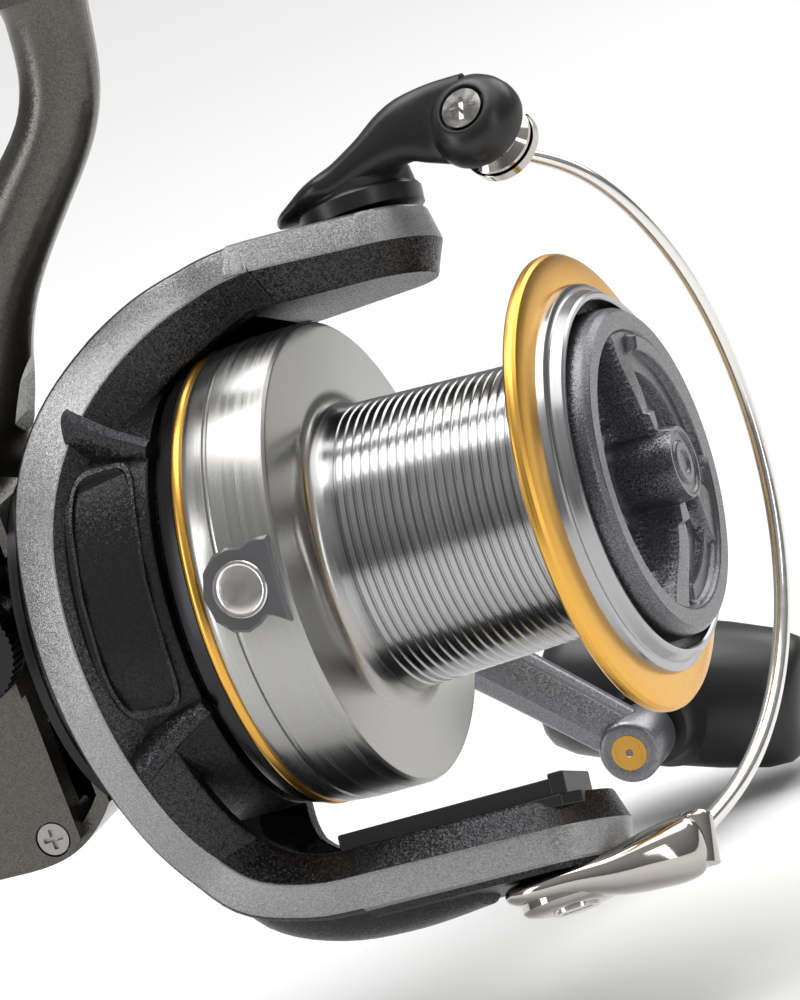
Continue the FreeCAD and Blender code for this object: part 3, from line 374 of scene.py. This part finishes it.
def dress_cad():
    """Every CAD node gets its own finish, or the finish of its material slot."""
    for part in frame["record"]["subparts"]:
        mesh = frame["nodes"][part["node"]].data
        mesh.materials.clear()
        mesh.materials.append(CAD_PAINT_BY_NODE.get(part["node"], CAD_PAINT[part["material_slot"]]))


# ---- spool ---------------------------------------------------------------------------------
GROOVES = 22
BARREL = (-4.2, 20.7, -36.0, 21.9)      # front x and radius, rear x and radius
SKIRT_R = 35.7


def spool():
    x0, r0, x1, r1 = BARREL
    pitch = (x0 - x1) / GROOVES
    outline = [(0.0, 28.6), (-2.6, 28.6), (-2.6, r0 + 0.6), (-3.1, r0)]
    for k in range(GROOVES):
        x = x0 - pitch * k
        r = r0 + (r1 - r0) * (k + 0.5) / GROOVES
        for share, depth in ((0.0, 0.0), (0.06, 0.16), (0.16, 0.3), (0.28, 0.3), (0.38, 0.16), (0.44, 0.0)):
            outline.append((x - share * pitch, r - depth))
    barrel_faces = len(outline)
    outline += [(-37.0, r1), (-37.9, r1 + 0.25), (-38.7, r1 + 0.9), (-39.3, r1 + 1.9), (-39.6, r1 + 3.2)]
    outline += [(-39.6, 34.6), (-39.72, 35.1), (-40.1, 35.5), (-40.7, SKIRT_R)]
    outline += [(-48.9, SKIRT_R), (-49.05, 35.35), (-49.3, 35.25), (-49.7, 35.25), (-49.9, 35.6),
                (-52.4, 35.4), (-53.2, 35.2), (-53.7, 34.9), (-53.7, 33.0), (-58.0, 33.0), (-58.0, 32.0), (-41.8, 32.0),
                (-41.8, 18.6), (-9.0, 18.6), (-9.0, 9.0), (-40.4, 9.0), (-40.4, 5.0), (-6.4, 5.0),
                (-6.4, 17.0), (-1.2, 17.0), (-1.2, 26.5), (0.0, 26.5)]
    marks = [0] * barrel_faces + [1] * (len(outline) - barrel_faces)
    made = lathe("spool_body", outline, REEL, "spool", [BARREL_METAL, SPOOL_METAL], 192, 24, marks)
    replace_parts(made, "spool")


def spool_rings():
    lip = [(0.0, 28.6), (1.6, 28.6), (1.75, 29.8), (1.35, 32.6), (1.15, 33.8), (0.85, 34.5), (0.35, 34.9),
           (-0.2, 35.0), (-0.8, 34.9), (-1.2, 34.5), (-1.5, 33.6), (-1.9, 32.0), (-2.6, 31.0), (-2.6, 28.6)]
    made = lathe("lip_ring", lip, REEL, "spool", GOLD, 192)
    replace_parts(made, "spool_lip_ring")
    rim = [(0.0, 26.5), (4.6, 26.5), (5.0, 26.6), (5.25, 26.85), (5.3, 27.1), (5.25, 27.45), (4.95, 27.8),
           (3.4, 28.35), (3.2, 28.6), (3.1, 29.3), (2.9, 29.6), (1.9, 29.8), (1.15, 29.85), (1.1, 28.6),
           (0.0, 28.6)]
    made = lathe("front_rim", rim, REEL, "spool", RIM_METAL, 192)
    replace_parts(made, "spool_front_rim")
    gold = [(-53.7, 33.0), (-53.7, 34.95), (-53.85, 35.15), (-54.2, 35.3), (-54.7, 35.28), (-55.1, 35.12),
            (-55.3, 34.9), (-55.3, 33.0)]
    made = lathe("skirt_band", gold, REEL, "spool", GOLD, 192)
    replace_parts(made, "skirt_gold_ring")
    black = [(-55.3, 33.0), (-55.3, 34.6), (-55.5, 34.8), (-57.2, 34.45), (-58.1, 34.0), (-58.5, 33.4),
             (-58.5, 32.0), (-58.0, 32.0), (-58.0, 33.0)]
    made = lathe("skirt_edge", black, REEL, "spool", BLACK_METAL, 192)
    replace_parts(made, "skirt_black_ring")


def clips():
    """Sprung line clips: pointed to the front, round behind, with a domed button."""
    outline = [(-40.4, -6.4), (-40.4, 0.0), (-40.4, 6.4), (-42.2, 5.2), (-43.7, 4.6), (-45.0, 5.6),
               (-47.2, 6.3), (-49.6, 5.7), (-51.7, 3.6), (-52.6, 0.0), (-51.7, -3.6), (-49.6, -5.7),
               (-47.2, -6.3), (-45.0, -5.8), (-43.0, -6.6)]
    button_x = -46.5
    for number, side in ((1, -1), (2, 1)):
        rings = []
        for r, grow in ((SKIRT_R + 0.12, 1.0), (SKIRT_R + 0.95, 1.0), (SKIRT_R + 1.3, 0.93)):
            ring = []
            for x, z in outline:
                xx = button_x + (x - button_x) * grow
                a = z * grow / SKIRT_R
                ring.append((xx, side * r * math.cos(a), side * r * math.sin(a)))
            rings.append(ring)
        verts, faces = skin(rings)
        made = piece("clip_plate_%d" % number, verts, faces, SPOOL, "clip_%d" % number, GREY_PLASTIC)
        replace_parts(made, "line_clip_%d" % number)
        stud = [(35.9, 4.3), (37.0, 4.3), (37.2, 4.15), (37.25, 3.75), (37.15, 3.55), (37.2, 3.3),
                (37.3, 2.2), (37.33, 1.0)]
        rows = [(side * d, r) for d, r in stud]
        verts, faces = skin(disc_rings(rows, (button_x, 0, 0), (0, 1, 0), (1, 0, 0)))
        made = piece("clip_stud_%d" % number, verts, faces, SPOOL, "clip_%d" % number, STEEL)
        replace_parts(made, "clip_button_%d" % number)


# ---- drag knob -----------------------------------------------------------------------------
RIM_X = 7.8             # drag knob's rim ahead of the lip


def knob_height(r, degrees):
    """Front of the drag knob: a deep crescent pit, swept wings level with the rim, and a long boss."""
    wing = 7.2 + 1.4 * smoothstep(20.0, 9.0, r)
    height = wing
    for start, stop, floor, swept in ((92, 243, 1.8, 0.9), (262, 322, 3.6, 1.6), (338, 436, 5.6, 0.8)):
        lean = swept * (r - 14.0)
        turn = (degrees - start + lean) % 360.0
        inside = smoothstep(0.0, 3.6, turn) * smoothstep(stop - start, stop - start - 3.6, turn)
        inside *= smoothstep(20.9, 20.2, r)
        ledge = floor + 1.7 * smoothstep(14.4, 15.0, r) * smoothstep(10, 13, turn)
        ledge += 1.2 * smoothstep(17.6, 18.1, r)
        height += (ledge - height) * inside
    if r > 20.9:
        height += (RIM_X - height) * smoothstep(20.9, 21.5, r)
    height -= 0.7 * smoothstep(24.0, 24.6, r)
    boss = 11.9 - 0.4 * smoothstep(4.9, 4.6, r) * smoothstep(3.1, 3.4, r) - 0.35 * smoothstep(1.9, 1.6, r)
    height += 0.9 * smoothstep(9.0, 8.4, r)
    return height + (boss - height) * smoothstep(5.9, 5.5, r)


def drag_knob():
    turns, rows, outer, middle = 480, 123, 24.6, 0.02
    radii = [max(outer * i / rows, middle) for i in range(rows + 1)]
    back = [(6.6, 24.85), (4.2, 25.1), (0.3, 25.2), (0.3, 14.6), (-0.9, 14.6), (-0.9, middle)]
    rings = []
    for k in range(turns):
        a = 2 * math.pi * k / turns
        outline = [(knob_height(r, math.degrees(a)), r) for r in radii] + back
        rings.append([(x, r * math.cos(a), r * math.sin(a)) for x, r in outline])
    verts, faces = skin(rings, closed=True)
    made = piece("knob_dial", verts, faces, REEL, "drag_knob", PAINT_KNOB, 40)
    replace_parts(made, "drag_knob")


# ---- rotor ---------------------------------------------------------------------------------
ROLLER_AXIS = Vector((0.045, 0.927, -0.366)).normalized()
ROLLER_CAP = Vector((-6.5, -9.0, 58.6))
BAIL_TOP = Vector((-29.0, 0.0, 50.0))
BAIL_LOW = Vector((-21.0, 0.0, -53.0))
BAIL_AXIS = (BAIL_TOP - BAIL_LOW).normalized()
WIRE = [(-5.8, 5.8, 52.7), (-1.5, 9.5, 51.0), (4.0, 16.0, 46.5), (8.4, 30.0, 33.5), (9.8, 40.0, 14.0),
        (9.2, 43.0, -8.0), (6.6, 38.0, -28.0), (3.0, 25.0, -43.5), (-0.4, 9.0, -51.4)]

RAIL = [  # outer x, outer z, inner x, inner z, ridge y along the rotor's open yoke, top to bottom
    (-44.0, 48.2, -41.0, 38.4), (-53.0, 47.2, -47.5, 37.0), (-62.5, 44.0, -55.5, 32.8),
    (-71.5, 37.5, -62.0, 26.5), (-78.5, 28.5, -66.5, 18.0), (-82.4, 17.0, -69.0, 8.0),
    (-83.5, 2.0, -69.4, -1.0), (-82.7, -13.0, -68.8, -12.0), (-80.3, -27.0, -67.4, -25.0),
    (-76.0, -39.5, -64.3, -35.8), (-68.5, -48.6, -58.8, -41.4), (-57.0, -52.6, -51.5, -43.7),
    (-46.0, -53.4, -43.0, -44.0)]
RIDGE_SHARE = 0.46
ARM_HALF = 17.0


def ridge_y(z):
    """Distance of the yoke's ridge from the rotor's middle plane."""
    return max(ARM_HALF, 34.0 - 0.0099 * z * z)


def rail(side):
    rings = []
    rows = eased(RAIL, 5)
    for xo, zo, xi, zi in rows:
        y = ridge_y((zo + zi) / 2)
        section = [(0.0, y - 7.4), (0.0, y - 4.4), (0.06, y - 3.5), (RIDGE_SHARE - 0.03, y - 0.35),
                   (RIDGE_SHARE, y), (RIDGE_SHARE + 0.05, y - 0.1), (0.96, y - 3.0), (1.0, y - 3.9),
                   (1.02, y - 7.6), (0.6, y - 9.0)]
        rings.append([(xi + share * (xo - xi), side * d, zi + share * (zo - zi)) for share, d in section])
    verts, faces = skin(rings)
    n = len(rings[0])
    marks = [1 if i % n in (4, 5) else 0 for i in range(len(faces))]
    name = "yoke_rail_%s" % ("near" if side < 0 else "far")
    return piece(name, verts, faces, ROTOR, "rotor", [PAINT_DARK, PAINT_LIGHT], 22, marks)


def tapered_outline(back_x, pivot_x, half, tip_r, inset, count=28):
    """Plan outline of an arm: sides that close in from half to the round end about its pivot."""
    r = tip_r - inset * 0.4
    points = [(back_x, inset - half), (back_x + 3.0, inset - half)]
    for k in range(count + 1):
        a = math.radians(-78 + 156 * k / count)
        points.append((pivot_x + r * math.cos(a), r * math.sin(a)))
    return points + [(back_x + 3.0, half - inset), (back_x, half - inset)]


def rotor_arm(name, rows, back_x, pivot_x, tip_r):
    """Arm slab from rows of (height, inset, material number of the band below)."""
    rings = []
    for z, inset, _ in rows:
        rings.append([(x, y, z) for x, y in tapered_outline(back_x, pivot_x, ARM_HALF, tip_r, inset)])
    verts, faces = skin(rings)
    n = len(rings[0])
    bands = [number for _, _, number in rows]
    # Both end caps take material 2, the painted shade paint, as painted shadow on the arm's ends.
    marks = [bands[i // n] if i // n < len(rings) - 1 else 2 for i in range(len(faces))]
    return piece(name, verts, faces, ROTOR, "rotor", [PAINT_DARK, PAINT_LIGHT, PAINT_SHADE], 22, marks)


def drum():
    outline = [(-74.0, 33.4), (-73.6, 33.8), (-60.0, 33.8), (-59.8, 33.6), (-59.8, 31.2), (-45.0, 31.2),
               (-45.0, 29.4), (-60.4, 29.4), (-60.4, 5.6), (-63.4, 5.6), (-63.4, 27.0), (-74.0, 30.6)]
    # The drum takes the painted shade paint: near-black standing for the shadow between the rails and the skirt.
    return lathe("yoke_drum", outline, ROTOR, "rotor", PAINT_SHADE, 120)


def web(side, sign):
    """Flared rib between drum and rail."""
    rows = eased([(-60.5, side * 25, sign * 17, 5.5, 1.6), (-66.0, side * 25.0, sign * 19.5, 6.5, 1.7),
                  (-72.5, side * 24.5, sign * 23.0, 8.5, 1.9)], 4)
    verts, faces = skin(oval_rings(rows, (0, side * 0.7, sign * 0.7), 20, 3.0))
    name = "yoke_web_%d" % (3 + side + (sign + 1) // 2)
    return piece(name, verts, faces, ROTOR, "rotor", PAINT_DARK, 40)


def window_frame(side):
    """Recessed panel with a raised edge in the side of the drum."""
    middle_x, drum_r, half_width, half_height = -67.2, 34.0, 5.6, 20.0
    rings = []
    for r, grow in ((33.7, 1.0), (34.4, 0.99), (34.4, 0.9), (33.85, 0.87)):
        ring = []
        for k in range(40):
            t = 2 * math.pi * k / 40
            c, s = math.cos(t), math.sin(t)
            u = half_width * grow * math.copysign(abs(c) ** 0.45, c)
            v = half_height * (grow * 0.5 + 0.5) * math.copysign(abs(s) ** 0.35, s)
            a = v / drum_r
            ring.append((middle_x + u, side * r * math.cos(a), r * math.sin(a)))
        rings.append(ring)
    verts, faces = skin(rings)
    n = len(rings[0])
    # The raised edge takes the rotor paint. The recess takes the painted shade paint, standing for the shadow inside
    # it.
    marks = [1 if i < 2 * n else 0 for i in range(len(faces))]
    name = "yoke_panel_%s" % ("near" if side < 0 else "far")
    return piece(name, verts, faces, ROTOR, "rotor", [PAINT_SHADE, PAINT_DARK], 30, marks)


def rotor():
    upper = [(37.8, 4.6, 0), (38.3, 3.9, 0), (39.0, 3.5, 0), (42.6, 0.35, 0), (42.9, 0.0, 1),
             (43.4, 0.1, 1), (47.8, 3.0, 1), (48.2, 3.9, 0), (48.5, 6.0, 0)]
    lower = [(-43.7, 4.6, 0), (-44.0, 4.1, 0), (-44.6, 3.5, 0), (-48.0, 0.35, 0), (-48.3, 0.0, 1),
             (-48.8, 0.1, 1), (-53.0, 3.0, 1), (-53.4, 3.9, 0), (-54.3, 5.6, 0)]
    main = rotor_arm("yoke_arm_upper", upper, -46.5, BAIL_TOP.x, 10.8)
    rotor_arm("yoke_arm_lower", lower, -48.0, BAIL_LOW.x, 11.4)
    for side in (-1, 1):
        bevelled(rail(side), 0.35, 2)
        window_frame(side)
        for sign in (-1, 1):
            web(side, sign)
    drum()
    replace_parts(back_shell("yoke_back_upper", 1), "arm_cover_upper", "arm_cover_screws")
    back_shell("yoke_back_lower", -1)
    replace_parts(main, "rotor")


def back_shell(name, sign):
    """Convex skin over the back of an arm, where the two rails meet."""
    if sign > 0:
        path = [(-38.0, 48.9, 11.0), (-46.0, 49.6, 12.0), (-55.0, 48.8, 13.0), (-64.0, 45.4, 13.0),
                (-72.0, 39.5, 13.0)]
    else:
        path = [(-34.0, -56.2, 8.0), (-46.0, -57.0, 10.0), (-58.0, -56.0, 12.0), (-67.5, -52.0, 13.0),
                (-74.0, -44.0, 13.0)]
    depth, spread = 9.0, 1.18
    rings = []
    rows = [(x, z, half * spread) for x, z, half in eased(path, 5)]
    for i, (x, z, half) in enumerate(rows):
        before, after = rows[max(i - 1, 0)], rows[min(i + 1, len(rows) - 1)]
        run = Vector((after[0] - before[0], 0, after[1] - before[1])).normalized()
        out = Vector((run.z, 0, -run.x)) * sign
        ring = []
        for k in range(21):
            s = -1 + 2 * k / 20
            drop = 0.4 + 5.2 * abs(s) ** 2.6
            ring.append(Vector((x, s * half, z)) - out * drop)
        ring += [Vector((x, half, z)) - out * depth, Vector((x, -half, z)) - out * depth]
        rings.append(ring)
    verts, faces = skin(rings)
    return piece(name, verts, faces, ROTOR, "rotor", PAINT_DARK, 40)


def arm_cover():
    """Black cover inside the lower arm, with a stepped rib along it."""
    plate = [(-53.0, -9.6), (-15.5, -9.6), (-13.0, -7.0), (-13.0, 7.0), (-15.5, 9.6), (-53.0, 9.6)]
    rings = [[(x, y, z) for x, y in plate] for z in (-45.5, -43.5)]
    verts, faces = skin(rings)
    made = bevelled(piece("arm_inner_cover", verts, faces, ROTOR, "rotor", BLACK_PLASTIC), 0.4)
    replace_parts(made, "arm_cover_lower")
    for name, y0, y1, top, x0, x1 in (("arm_inner_rib", -8.4, -4.6, -40.9, -52.0, -15.5),
                                      ("arm_inner_step", -5.0, 6.0, -42.4, -50.0, -17.5),
                                      ("arm_inner_stop", -8.8, 2.0, -40.2, -17.2, -14.6)):
        outline = [(x0, y0), (x1, y0), (x1, y1), (x0, y1)]
        rings = [[(x, y, z) for x, y in outline] for z in (-44.0, top)]
        verts, faces = skin(rings)
        bevelled(piece(name, verts, faces, ROTOR, "rotor", BLACK_PLASTIC), 0.35)


# ---- bail ----------------------------------------------------------------------------------
def upper_bail_arm():
    base = BAIL_TOP - BAIL_AXIS * 1.4
    rows = [(0.0, 9.4), (2.4, 9.6), (2.9, 9.3), (3.1, 9.0), (5.6, 8.7), (6.6, 7.9), (7.2, 6.4),
            (7.4, 4.0), (7.45, 0.4)]
    verts, faces = skin(disc_rings(rows, base, BAIL_AXIS, (1, 0, 0)))
    boss = piece("bail_boss", verts, faces, ROTOR, "bail", BLACK_PLASTIC)
    head = ROLLER_CAP + ROLLER_AXIS * 3.2
    path = eased([(-42.8, 0.5, 51.2, 0.8, 0.5), (-41.5, 0.4, 51.5, 2.8, 0.9),
                  (-38.5, 0.0, 52.0, 5.6, 1.5), (-34.0, -0.5, 53.0, 8.4, 2.3),
                  (-29.0, -1.5, 54.2, 8.8, 3.0), (-24.0, -3.4, 56.4, 5.6, 3.4), (-18.5, -4.2, 58.6, 3.6, 4.8),
                  (-13.5, -4.4, 58.6, 2.4, 6.0), (head.x - 1.5, head.y + 0.6, head.z + 0.2, 1.9, 6.9)], 5)
    verts, faces = skin(oval_rings(path, (0, 1, 0), 28, 2.3))
    piece("bail_lever", verts, faces, ROTOR, "bail", BLACK_PLASTIC, 50)
    rows = [(1.4, 0.5), (1.4, 3.55), (0.2, 3.6), (-0.1, 3.75), (-0.15, 4.0), (0.15, 4.8), (0.8, 5.7), (1.8, 6.5),
            (3.2, 7.05), (4.8, 7.3), (5.7, 7.25), (6.0, 7.0), (6.1, 6.4), (6.1, 0.5)]
    verts, faces = skin(disc_rings(rows, ROLLER_CAP, ROLLER_AXIS, (0, 0, 1), 64))
    piece("roller_housing", verts, faces, ROTOR, "bail", BLACK_PLASTIC)
    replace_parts(boss, "bail_arm_upper")


def bail_wire():
    """Wire that thickens from the roller to the lower arm."""
    control = [(-6.2, 4.6, 53.1)] + WIRE + [(-1.2, 5.4, -52.8)]
    rows = drawn([(*p, 0.95 + 0.05 * i, 0.95 + 0.05 * i) for i, p in enumerate(control)], 10)
    verts, faces = skin(oval_rings(rows, (1, 0, 0.2), 20))
    made = piece("bail_hoop", verts, faces, ROTOR, "bail", STEEL, 60)
    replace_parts(made, "bail_wire")


def lower_bail_arm():
    base = BAIL_LOW - BAIL_AXIS * 1.8
    path = eased([(-30.2, -1.0, -55.6, 0.8, 0.6), (-29.4, -1.0, -55.8, 3.6, 1.2), (-27.6, -1.0, -56.0, 6.0, 1.7),
                  (-23.5, -1.0, -56.2, 7.8, 2.1), (-17.5, -0.6, -56.0, 8.2, 2.7), (-12.0, 0.4, -56.0, 7.4, 3.6),
                  (-7.5, 1.8, -55.4, 6.4, 4.4), (-4.0, 3.2, -54.9, 5.4, 4.8), (-1.6, 4.4, -54.7, 4.0, 4.2),
                  (-0.2, 5.2, -54.6, 1.2, 1.4)], 6)
    verts, faces = skin(oval_rings(path, (0, 1, 0), 32, 2.6))
    lever = piece("bail_plate", verts, faces, ROTOR, "bail", CHROME, 45)
    rows = [(0.0, 7.9), (-3.6, 7.9), (-4.2, 7.4), (-4.6, 6.0)]
    verts, faces = skin(disc_rings(rows, base, BAIL_AXIS, (1, 0, 0)))
    piece("bail_plate_boss", verts, faces, ROTOR, "bail", CHROME)
    socket = [(-3.4, 2.9), (3.6, 2.7), (4.2, 2.5), (4.6, 2.0), (4.7, 0.4)]
    verts, faces = skin(disc_rings(socket, (-1.4, 4.8, -54.4), (0.05, 0.1, 1), (1, 0, 0)))
    piece("bail_socket", verts, faces, ROTOR, "bail", CHROME)
    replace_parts(lever, "bail_arm_lower")


# ---- crank ---------------------------------------------------------------------------------
KNUCKLE = Vector((-39.2, 70.0, -58.4))
DRIVE = Vector((-97.0, 0.0, 7.5))
ARM_ROOT_Y = 50.7
BAR_TILT = math.radians(19.0)
KNOB_Y = 30.5


def crank_arm():
    """Blade with a ridge along its near face, ending in a round knuckle."""
    tip = KNUCKLE + Vector((0, 5, 0))
    root = Vector((DRIVE.x, ARM_ROOT_Y, DRIVE.z))
    shape = eased([(0.0, 0.0, 7.2, 3.9), (0.15, 0.05, 6.4, 3.6), (0.3, 0.28, 5.6, 3.2), (0.45, 0.56, 5.3, 3.2),
                   (0.7, 0.83, 4.9, 3.4), (0.97, 1.0, 4.5, 3.3)], 5)
    along = Vector((tip.x - root.x, 0, tip.z - root.z))
    side = along.cross(Vector((0, 1, 0))).normalized()
    section = [(-1, -0.1), (-0.86, -0.62), (-0.2, -1), (0.2, -0.94), (0.82, -0.5), (1, 0.0), (0.9, 0.7), (0.5, 1),
               (-0.5, 1), (-0.9, 0.7)]
    rings = []
    for t, rise, a, b in shape:
        centre = root + along * t + Vector((0, (tip.y - root.y) * rise, 0))
        rings.append([centre + side * (u * a) + Vector((0, w * b, 0)) for u, w in section])
    verts, faces = skin(rings)
    arm = bevelled(piece("crank_blade", verts, faces, REEL, "crank", PAINT_CRANK, 20), 0.5)
    rows = [(0.0, 2.95), (-0.1, 3.3), (-0.15, 4.5), (0.1, 4.9), (0.5, 5.1), (9.6, 5.1), (10.2, 4.9),
            (10.5, 4.4), (10.5, 2.3)]
    verts, faces = skin(disc_rings(rows, KNUCKLE, (0, 1, 0), (1, 0, 0), 64))
    piece("crank_knuckle", verts, faces, REEL, "crank", PAINT_CRANK)
    rows = [(-0.8, 2.4), (-0.8, 7.2), (-0.4, 7.6), (6.8, 7.6), (7.2, 7.2), (7.2, 2.4)]
    verts, faces = skin(disc_rings(rows, (DRIVE.x, 48.3, DRIVE.z), (0, 1, 0), (1, 0, 0), 64))
    piece("crank_eye", verts, faces, REEL, "crank", PAINT_CRANK)
    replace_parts(arm, "handle_arm")


def bar_knob():
    centre = KNUCKLE + Vector((0, KNOB_Y, 0))
    along = Vector((math.cos(BAR_TILT), 0, -math.sin(BAR_TILT)))
    half = [(0.0, 12.0), (8.0, 11.9), (16.0, 11.3), (19.5, 10.2), (20.8, 9.0), (21.6, 7.4), (21.95, 5.0),
            (22.0, 1.0)]
    profile = [(-x, r) for x, r in reversed(half[1:])] + half
    verts, faces = skin(disc_rings(profile, centre, along, (0, 1, 0), 96))
    bar = piece("grip_bar", verts, faces, REEL, "knob", KNOB_BLACK, 50)
    neck = [(12.4, 2.6), (12.4, 6.2), (13.0, 6.6), (16.0, 7.0), (19.5, 8.2), (22.0, 10.0), (24.0, 10.6)]
    verts, faces = skin(disc_rings(neck, KNUCKLE, (0, 1, 0), (1, 0, 0), 64))
    piece("grip_neck", verts, faces, REEL, "knob", KNOB_BLACK, 50)
    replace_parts(bar, "handle_knob")


# ---- stage ---------------------------------------------------------------------------------
AIM = Vector((0.0273, -0.0098, -0.0927))
HEADING, DOWN, ROLL = math.radians(111.94), math.radians(11.15), math.radians(20.46)
DISTANCE = 1.18125
FLOOR_Z = CAD_BOX[0].z - 0.002


def camera():
    level_share = math.cos(DOWN)
    forward = Vector((math.cos(HEADING) * level_share, math.sin(HEADING) * level_share, -math.sin(DOWN)))
    level = forward.cross(Vector((0, 0, 1))).normalized()
    upright = level.cross(forward)
    right = level * math.cos(ROLL) - upright * math.sin(ROLL)
    up = right.cross(forward)
    data = bpy.data.cameras.new("camera")
    data.lens, data.sensor_width = 288, 36
    data.clip_start, data.clip_end = 0.05, 50
    made = bpy.data.objects.new("camera", data)
    made.matrix_world = Matrix.Translation(AIM - forward * DISTANCE) @ Matrix(
        (right, up, -forward)).transposed().to_4x4()
    bpy.context.scene.collection.objects.link(made)
    bpy.context.scene.camera = made


def floor():
    mesh = bpy.data.meshes.new("floor")
    half = 12.0
    corners = [(x, y, FLOOR_Z) for x, y in ((-half, -half), (half, -half), (half, half), (-half, half))]
    mesh.from_pydata(corners, [], [(0, 1, 2, 3)])
    paint = Paint("floor_paper", (0.74, 0.74, 0.737), 0.0, 0.7)
    paint.shaded(paint.noise(0.004, 2.0), 0.99, 1.01)
    mesh.materials.append(paint.material)
    made = bpy.data.objects.new("floor", mesh)
    bpy.context.scene.collection.objects.link(made)


def softbox(name, place, aim, size, power, color=(1, 1, 1)):
    data = bpy.data.lights.new(name, "AREA")
    data.shape = "RECTANGLE"
    data.size, data.size_y = size
    data.energy = power
    data.color = color
    made = bpy.data.objects.new(name, data)
    direction = Vector(aim) - Vector(place)
    made.matrix_world = Matrix.Translation(place) @ direction.to_track_quat("-Z", "Y").to_matrix().to_4x4()
    bpy.context.scene.collection.objects.link(made)


def lights():
    centre = (0.0, 0.0, -0.1)
    softbox("top_box", (-0.15, 0.1, 0.9), centre, (0.8, 0.8), 6.0)
    softbox("left_strip", (-0.85, -0.75, 0.25), centre, (0.3, 0.9), 3.6)
    softbox("front_strip", (0.95, -0.75, 0.25), centre, (0.16, 0.8), 1.8)
    softbox("back_box", (0.5, 0.9, 0.5), centre, (0.7, 0.5), 3.0)
    data = bpy.data.lights.new("sky_wash", "SUN")
    data.energy, data.angle = 1.9, math.radians(70)
    wash = bpy.data.objects.new("sky_wash", data)
    wash.rotation_euler = (math.radians(-12), math.radians(10), 0)
    bpy.context.scene.collection.objects.link(wash)
    world = bpy.data.worlds.new("studio")
    world.use_nodes = True
    nodes, links = world.node_tree.nodes, world.node_tree.links
    coords = nodes.new("ShaderNodeTexCoord")
    split = nodes.new("ShaderNodeSeparateXYZ")
    ramp = nodes.new("ShaderNodeValToRGB")
    links.new(coords.outputs["Generated"], split.inputs["Vector"])
    height = nodes.new("ShaderNodeMapRange")
    height.inputs["From Min"].default_value = -1.0
    links.new(split.outputs["Z"], height.inputs["Value"])
    links.new(height.outputs["Result"], ramp.inputs["Fac"])
    links.new(ramp.outputs["Color"], nodes["Background"].inputs["Color"])
    stops = ramp.color_ramp.elements
    stops[0].position, stops[0].color = 0.40, (0.10, 0.10, 0.10, 1)
    stops[1].position, stops[1].color = 0.85, (0.75, 0.75, 0.75, 1)
    nodes["Background"].inputs["Strength"].default_value = 0.6
    bpy.context.scene.world = world


def main():
    camera()
    dress_cad()
    spool()
    spool_rings()
    clips()
    drag_knob()
    rotor()
    arm_cover()
    upper_bail_arm()
    bail_wire()
    lower_bail_arm()
    crank_arm()
    bar_knob()
    floor()
    lights()
    bpy.context.scene.view_settings.view_transform = "Standard"


main()
